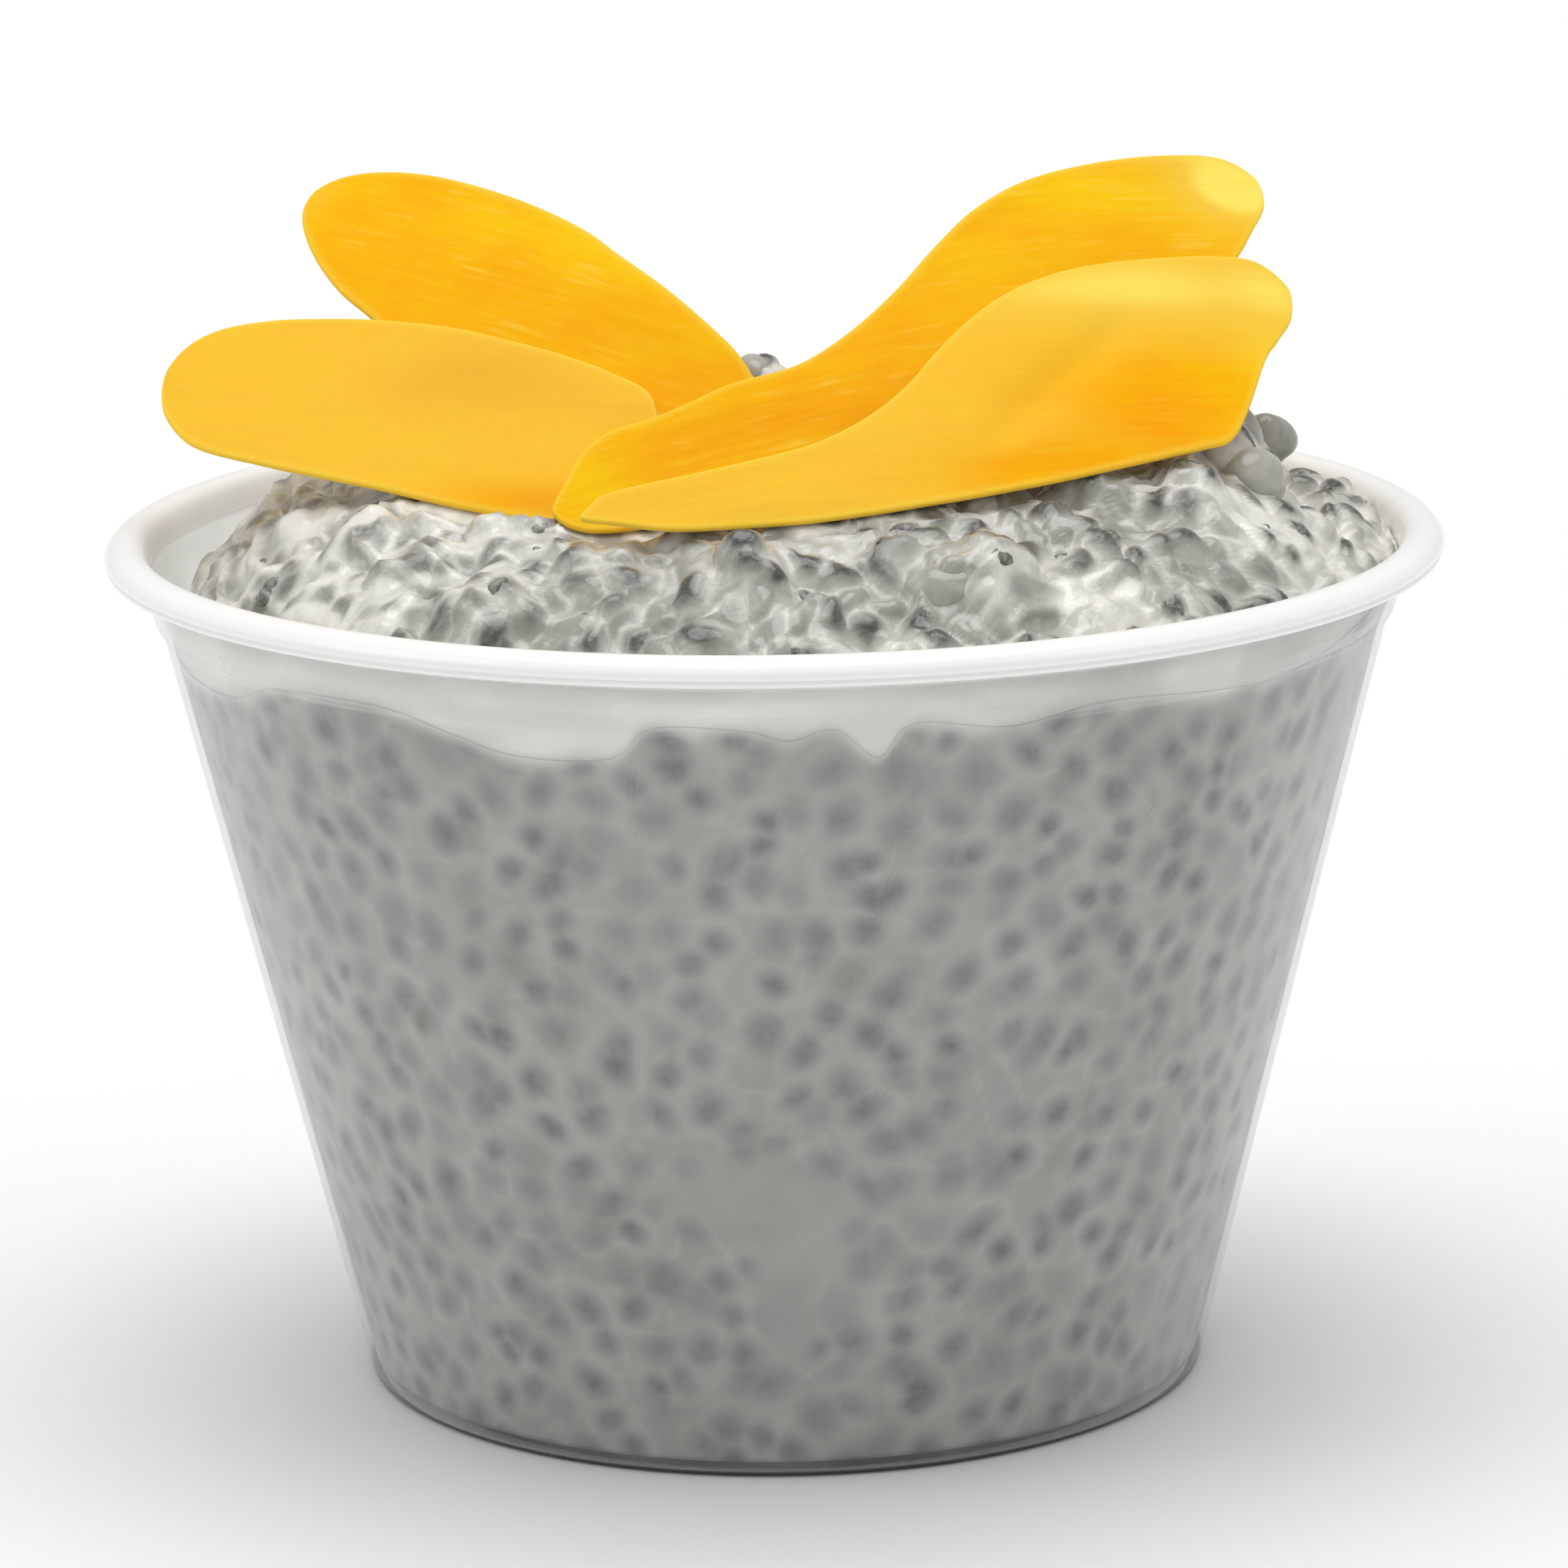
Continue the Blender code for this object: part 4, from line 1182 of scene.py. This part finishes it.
def mound_surface():
    """Points, faces and marks of the pudding's top, closed by a skirt and a floor.

    A square grid is mapped to a disc and spread evenly over the slope. The fine relief
    moves each point along the mound's normal. What would pass through the wall is held
    back, the slices press their beds into the top, and the border ends at the wall.
    """
    line = np.linspace(-1.0, 1.0, TOP_CELLS + 1)
    u, v = np.meshgrid(line, line)
    unit_x, unit_y = square_to_disc(u, v)
    unit = np.hypot(unit_x, unit_y)
    _, distance_share, radius_share = slope_distance(0.0)
    spread = np.interp(unit, distance_share, radius_share) / np.maximum(unit, 1e-9)
    edge = wall_line(front_angle(unit_x, unit_y))
    reach = side_radius(edge) * spread
    x, y = unit_x * reach, unit_y * reach
    base = np.stack([x, y, mound_height(x, y)], -1)
    normal = np.cross(np.gradient(base, axis=1), np.gradient(base, axis=0))
    normal /= np.linalg.norm(normal, axis=-1, keepdims=True)
    relief, marks = fine_relief(x, y)
    inner = 1.0 - smooth_step(unit, 0.985, 1.0)
    top = base + normal * (relief * inner)[..., None]
    radius = np.hypot(top[..., 0], top[..., 1])
    limit = side_radius(np.minimum(top[..., 2], WALL_TOP)) - 0.12 - 0.25 * inner
    top[..., :2] *= np.minimum(1.0, limit / np.maximum(radius, 1e-9))[..., None]
    for spec in SLICES.values():
        under = slice_bed(spec, top[..., 0], top[..., 1])[0]
        top[..., 2] = np.minimum(top[..., 2], under - BED_CLEARANCE)

    index = np.arange(top[..., 0].size).reshape(top.shape[:2])
    grid = np.stack([index[:-1, :-1], index[:-1, 1:], index[1:, 1:], index[1:, :-1]],
                    -1).reshape(-1, 4)
    border = np.concatenate([index[0, :-1], index[:-1, -1],
                             index[-1, :0:-1], index[:0:-1, 0]])
    points = top.reshape(-1, 3)
    skirt = points[border] * (0.93, 0.93, 1.0) - (0.0, 0.0, SKIRT_DEPTH)
    points = np.vstack([points, skirt, (0.0, 0.0, POLE_HEIGHT)])
    rings = np.stack([border, index.size + np.arange(len(border))])
    after = np.roll(rings, -1, axis=1)
    walls = np.stack([rings[0], rings[1], after[1], after[0]], -1)
    centre = np.full(len(border), len(points) - 1)
    fan = np.stack([rings[1], centre, after[1]], -1)
    marks = with_rest(marks, len(points) - index.size)
    return points, [np.vstack([grid, walls]), fan], marks


def wall_seeds(angle, z):
    """Seeds against the wall, as seen through it: (dark, pale), each from 0 to 1.

    The seeds stand in staggered rings round the cup, shaken by a seeded draw. Each has
    its own radius and its own depth behind the milk, and a deep one is faint and wide.
    A pale halo lies round the near ones.
    """
    draw = np.random.default_rng(23)
    dark, pale = np.zeros_like(z), np.zeros_like(z)
    for row, level in enumerate(np.arange(1.5, 59.0, WALL_SEED_PITCH * 0.8)):
        ring = outer_radius(level)
        count = int(round(2.0 * math.pi * ring / WALL_SEED_PITCH))
        turn = np.arange(count) + 0.5 * (row % 2) + draw.uniform(-0.38, 0.38, count)
        rise = level + draw.uniform(-0.34, 0.34, count) * WALL_SEED_PITCH
        radius = draw.uniform(1.2, 1.75, count)
        depth = draw.uniform(0.0, 1.0, count) ** 1.2
        lean = draw.uniform(-0.35, 0.35, count)
        near = np.abs(z - level) < 2.0 * WALL_SEED_PITCH
        place = angle[near] / (2.0 * math.pi) * count
        for step in (-2, -1, 0, 1, 2):
            which = np.floor(place).astype(int) + step
            seed = which % count
            dx = (place - turn[seed] - (which - seed)) * 2.0 * math.pi * ring / count
            dy = z[near] - rise[seed]
            away = np.hypot(dx + lean[seed] * dy, dy) / radius[seed]
            blur = 0.68 + 0.25 * depth[seed]
            spot = np.exp(-(away / blur) ** 2.6) * (1.0 - 0.65 * depth[seed])
            halo = 0.75 * np.exp(-((away - 1.35) / 0.30) ** 2) * (1.0 - depth[seed])
            dark[near] = np.maximum(dark[near], spot)
            pale[near] = np.maximum(pale[near], halo)
    return dark, pale * (1.0 - dark)


def side_surface():
    """Points, faces and marks of the pudding against the wall, closed at both ends.

    The web is fine pale lines between the seeds.
    """
    degrees = np.linspace(-180.0, 180.0, SIDE_COLUMNS, endpoint=False)
    angle = np.radians(degrees)
    share = np.append(np.linspace(0.0, 1.0, SIDE_ROWS), 1.0)[:, None]
    z = PUDDING_FLOOR + (wall_line(degrees) - PUDDING_FLOOR) * share
    z[-2] -= 0.03
    rings = place_round(side_radius(z), angle, z)
    inner_ring = rings[-1:] * (0.985, 0.985, 1.0) - (0.0, 0.0, 0.6)
    points, faces = rolled_surface(np.concatenate([rings, inner_ring]),
                                   (0.0, 0.0, PUDDING_FLOOR), (0.0, 0.0, POLE_HEIGHT))
    around = angle * UNROLL_RADIUS
    sway = 0.55 * soft_noise(around, z, 6.0, 41)
    lift = 0.5 * soft_noise(around, z, 6.0, 42)
    dark, pale = wall_seeds((around + sway) / UNROLL_RADIUS, z + lift)
    crowd = smooth_step(soft_noise(around, z, 11.0, 43), -1.0, -0.55)
    crowd *= smooth_step(patch(around, z, BARE_PLACE, BARE_SIZE), 0.6, 1.5)
    web = 1.0 - np.abs(soft_noise(around + 0.4 * z, z, 3.1, 45))
    web = smooth_step(web, 0.80, 1.0) * (0.4 + 0.6 * crowd)
    marks = {
        "dark": dark * crowd,
        "pale": np.clip(pale * crowd + 0.7 * web * (1.0 - dark), 0.0, 1.0),
        "film": film_and_rim_shadow(degrees, z),
        "husk": np.exp(-patch(around, z, HUSK_PLACE, HUSK_SIZE)),
    }
    return points, faces, with_rest(marks, SIDE_COLUMNS + 2)


class MakePudding(bpy.types.Operator):
    """Shape the pudding in the cup and its mound of swollen seeds"""

    bl_idname = "dessert.make_pudding"
    bl_label = "Make Pudding"

    def execute(self, context):
        pudding = context.scene.dessert.pudding
        for name, (points, faces, marks), material in (
                ("pudding_mound", mound_surface(), open_top_finish(pudding)),
                ("pudding_side", side_surface(), seen_through_wall_finish())):
            settle(add_piece(name, points, faces, material, marks), "pudding", "pudding")
        return {"FINISHED"}


def ball_grid(rings, around):
    """Unit ball as inner rings of points, with its faces; the poles come last."""
    lift = np.linspace(0.0, math.pi, rings + 2)[1:-1, None]
    turn = np.linspace(0.0, 2.0 * math.pi, around, endpoint=False)
    points = np.stack([np.sin(lift) * np.cos(turn), np.sin(lift) * np.sin(turn),
                       np.cos(lift) + 0.0 * turn], -1)
    return rolled_surface(points, (0.0, 0.0, 1.0), (0.0, 0.0, -1.0))


def many_balls(ball, faces, centres, axes):
    """Copies of a ball as one mesh: each is stretched by its own three axes and moved."""
    points = centres[:, None] + np.einsum("vk,nkj->nvj", ball, axes)
    step = np.arange(len(centres))[:, None, None] * len(ball)
    joined = [(group[None] + step).reshape(-1, group.shape[1]) for group in faces]
    return points.reshape(-1, 3), joined


def mound_places(count, seed):
    """Places on the finished mound, with the normal there, drawn evenly over its slope.

    Places under a slice and beside the wall are left out.
    """
    mesh = bpy.data.objects["pudding_mound"].data
    size = len(mesh.vertices)
    place, normal = np.empty(3 * size), np.empty(3 * size)
    mesh.vertices.foreach_get("co", place)
    mesh.vertices.foreach_get("normal", normal)
    top = (TOP_CELLS + 1) ** 2
    place = place.reshape(-1, 3)[:top] / MM
    normal = normal.reshape(-1, 3)[:top]
    free = np.hypot(place[:, 0], place[:, 1]) < SEED_REACH
    for spec in SLICES.values():
        free &= slice_bed(spec, place[:, 0], place[:, 1])[1] < -SEED_CLEARANCE
    draw = np.random.default_rng(seed)
    chosen = draw.choice(np.flatnonzero(free), count, replace=False)
    return place[chosen], normal[chosen], draw


class MakeSeeds(bpy.types.Operator):
    """Scatter single chia seeds that lie half sunk in the mound"""

    bl_idname = "dessert.make_seeds"
    bl_label = "Make Seeds"

    def execute(self, context):
        place, normal, draw = mound_places(LOOSE_SEEDS, 5)
        turn = draw.uniform(0.0, 2.0 * math.pi, len(place))
        flat = np.stack([np.cos(turn), np.sin(turn), 0.0 * turn], -1)
        side = np.cross(normal, flat)
        side /= np.linalg.norm(side, axis=-1, keepdims=True)
        along = np.cross(side, normal)
        size = draw.uniform(0.8, 1.15, (len(place), 1))
        axes = np.stack([along * SEED_LONG * size, side * SEED_WIDE * size,
                         normal * SEED_THICK * size], 1)
        sunk = draw.uniform(0.70, 1.0, (len(place), 1)) * SEED_THICK
        ball, faces = ball_grid(4, 8)
        points, faces = many_balls(ball, faces, place - normal * sunk, axes)
        settle(add_piece("chia_seeds", points, faces, seed_finish()), "pudding")
        return {"FINISHED"}


class MakeKnobs(bpy.types.Operator):
    """Add the smooth knobs of pudding that hang over the slope"""

    bl_idname = "dessert.make_knobs"
    bl_label = "Make Knobs"

    def execute(self, context):
        ball, faces = ball_grid(30, 44)
        knobs = np.array(KNOBS)
        axes = knobs[:, 3:6, None] * np.eye(3)
        points, faces = many_balls(ball, faces, knobs[:, :3], axes)
        out = np.tile(ball / np.linalg.norm(ball, axis=-1, keepdims=True), (len(knobs), 1))
        wave = soft_noise(points[:, 0] + points[:, 2], points[:, 1] - points[:, 2], 2.4, 51)
        dark = np.repeat(knobs[:, 6], len(ball))
        marks = {"core": dark, "milk_and_light": 0.22 + 0.15 * wave - 0.3 * dark}
        finish = open_top_finish(context.scene.dessert.pudding)
        piece = add_piece("pudding_knobs", points + 0.5 * wave[:, None] * out, faces,
                          finish, marks)
        settle(piece, "pudding")
        return {"FINISHED"}


def film_surface(thickness):
    """Closed ribbon round the wall, from just under the wall line to the flange.

    At each angle its section is a thin strip: up the side in the wall and down the
    inner side, with the lower border thinned out.
    """
    degrees = np.linspace(-180.0, 180.0, FILM_COLUMNS, endpoint=False)
    low = wall_line(degrees) - FILM_BELOW_LINE
    share = np.linspace(0.0, 1.0, FILM_ROWS)[:, None]
    z = low + (WALL_TOP - FILM_UNDER_FLANGE - low) * share
    body = thickness * smooth_step(share, 0.0, 0.2) + 0.02
    outer = contents_radius(z) + INTO_WALL * 0.4
    inner = contents_radius(z) - body
    rings = place_round(np.vstack([outer, inner[::-1]]), np.radians(degrees),
                        np.vstack([z, z[::-1]]))
    index = np.arange(rings[..., 0].size).reshape(rings.shape[:2])
    below = np.roll(index, -1, axis=0)
    after, below_after = np.roll(index, -1, axis=1), np.roll(below, -1, axis=1)
    quads = np.stack([index, after, below_after, below], -1).reshape(-1, 4)
    return rings.reshape(-1, 3), [quads]


class MakeMilkFilm(bpy.types.Operator):
    """Leave a thin film of milk on the wall above the pudding"""

    bl_idname = "dessert.make_milk_film"
    bl_label = "Make Milk Film"

    def execute(self, context):
        thickness = context.scene.dessert.pudding.film_thickness / MM
        points, faces = film_surface(thickness)
        angle = front_angle(points[:, 0], points[:, 1])
        away = smooth_step(np.abs(angle), 60, 95)
        marks = {"film": film_and_rim_shadow(angle, points[:, 2]), "body": 0.97 - 0.75 * away}
        settle(add_piece("milk_film", points, faces, film_finish(), marks), "pudding")
        return {"FINISHED"}


# Stage

CAMERA_PLACE = (0.0, -0.509156, 0.159026)
CAMERA_AIM = (0.00044, 0.0, 0.04218)
CAMERA_LENS = 167.3
CAMERA_ROLL = -0.0150
FLOOR_SIZE = 6.0
SHOWN_WHITE = 1.05           # strength of the background that the camera sees

# Soft suns as (name, where from, share of the key strength, width in degrees)
LIGHTS = (
    ("overhead", (0.0, 0.08, 1.0), 1.36, 50.0),
    ("window_left", (-0.85, -0.15, 0.75), 0.25, 30.0),
    ("window_right", (0.85, -0.15, 0.75), 0.16, 30.0),
)


def look_at(place, aim, roll):
    """Camera matrix from its place to its aim, rolled about the line of sight."""
    forward = (Vector(aim) - Vector(place)).normalized()
    right = forward.cross(Vector((0.0, 0.0, 1.0))).normalized()
    up = right.cross(forward)
    turned_right = math.cos(roll) * right + math.sin(roll) * up
    turned_up = math.cos(roll) * up - math.sin(roll) * right
    matrix = Matrix((turned_right, turned_up, -forward)).transposed().to_4x4()
    matrix.translation = Vector(place)
    return matrix


def add_sun(name, place, strength, width):
    """Add a soft sun that shines from a place towards the origin."""
    light = bpy.data.lights.new(name, "SUN")
    light.energy = strength
    light.angle = math.radians(width)
    add_object(name, light).matrix_world = look_at(place, (0.0, 0.0, 0.0), 0.0)


def white_world(ambient):
    """World that lights with the ambient strength and shows as pure white."""
    world = bpy.data.worlds.new("white_room")
    world.use_nodes = True
    tree = world.node_tree
    tree.nodes.clear()
    mix = tree.nodes.new("ShaderNodeMixShader")
    path = tree.nodes.new("ShaderNodeLightPath")
    tree.links.new(path.outputs["Is Camera Ray"], mix.inputs[0])
    for socket, strength in ((mix.inputs[1], ambient), (mix.inputs[2], SHOWN_WHITE)):
        white = tree.nodes.new("ShaderNodeBackground")
        white.inputs["Color"].default_value = (1.0, 1.0, 1.0, 1.0)
        white.inputs["Strength"].default_value = strength
        tree.links.new(white.outputs[0], socket)
    output = tree.nodes.new("ShaderNodeOutputWorld")
    tree.links.new(mix.outputs[0], output.inputs["Surface"])
    return world


def add_floor(floor_colour):
    """Lay the large matt floor."""
    finish = Finish("white_floor", 0.9, 0.0)
    finish.set("Base Color", (*floor_colour, 1.0))
    half = FLOOR_SIZE / 2
    mesh = bpy.data.meshes.new("floor")
    square = [(-half, -half, 0), (half, -half, 0), (half, half, 0), (-half, half, 0)]
    mesh.from_pydata(square, [], [(0, 1, 2, 3)])
    mesh.materials.append(finish.material)
    return add_object("floor", mesh)


class MakeStage(bpy.types.Operator):
    """Lay the white floor and set the light and the camera"""

    bl_idname = "dessert.make_stage"
    bl_label = "Make Stage"

    def execute(self, context):
        stage = context.scene.dessert.stage
        context.scene.view_settings.view_transform = "Standard"
        context.scene.world = white_world(stage.ambient)
        floor = add_floor(stage.floor_colour)
        floor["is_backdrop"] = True
        for name, place, share, width in LIGHTS:
            add_sun(name, place, stage.key * share, width)
        camera = add_object("camera", bpy.data.cameras.new("camera"))
        camera.data.lens = CAMERA_LENS
        camera.data.sensor_width = 36.0
        camera.data.sensor_fit = "HORIZONTAL"
        camera.data.clip_start = 0.01
        camera.matrix_world = look_at(CAMERA_PLACE, CAMERA_AIM, CAMERA_ROLL)
        context.scene.camera = camera
        return {"FINISHED"}


class DessertPanel(bpy.types.Panel):
    """Sidebar panel with the dessert's settings and operators"""

    bl_idname = "VIEW3D_PT_dessert"
    bl_label = "Chia Pudding"
    bl_space_type = "VIEW_3D"
    bl_region_type = "UI"
    bl_category = "Dessert"

    def draw(self, context):
        settings = context.scene.dessert
        for operator, group in OPERATORS:
            box = self.layout.box()
            box.operator(operator.bl_idname)
            if group:
                chosen = getattr(settings, group)
                for key in chosen.__annotations__:
                    box.prop(chosen, key)


OPERATORS = (
    (MakeStage, "stage"),
    (MakeCup, "cup"),
    (MakePudding, "pudding"),
    (MakeSeeds, None),
    (MakeKnobs, None),
    (MakeMilkFilm, None),
    (MakeMangoSlices, "mango"),
)
GROUPS = (CupSettings, PuddingSettings, MangoSettings, StageSettings, DessertSettings)


def register():
    """Register the settings, the operators and the panel."""
    for group in GROUPS:
        bpy.utils.register_class(group)
    for operator, _ in OPERATORS:
        bpy.utils.register_class(operator)
    bpy.utils.register_class(DessertPanel)
    bpy.types.Scene.dessert = bpy.props.PointerProperty(type=DessertSettings)


def unregister():
    """Take back what register did."""
    del bpy.types.Scene.dessert
    bpy.utils.unregister_class(DessertPanel)
    for operator, _ in reversed(OPERATORS):
        bpy.utils.unregister_class(operator)
    for group in reversed(GROUPS):
        bpy.utils.unregister_class(group)


def corners(box):
    """A box's two corners as plain lists."""
    return [[float(value) for value in corner] for corner in box]


def main():
    """Register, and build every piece."""
    register()
    for operator, _ in OPERATORS:
        group, call = operator.bl_idname.split(".")
        getattr(getattr(bpy.ops, group), call)()
    {"frame": corners(FRAME_BOX), "model": corners(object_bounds())}


if __name__ == "__main__":
    main()
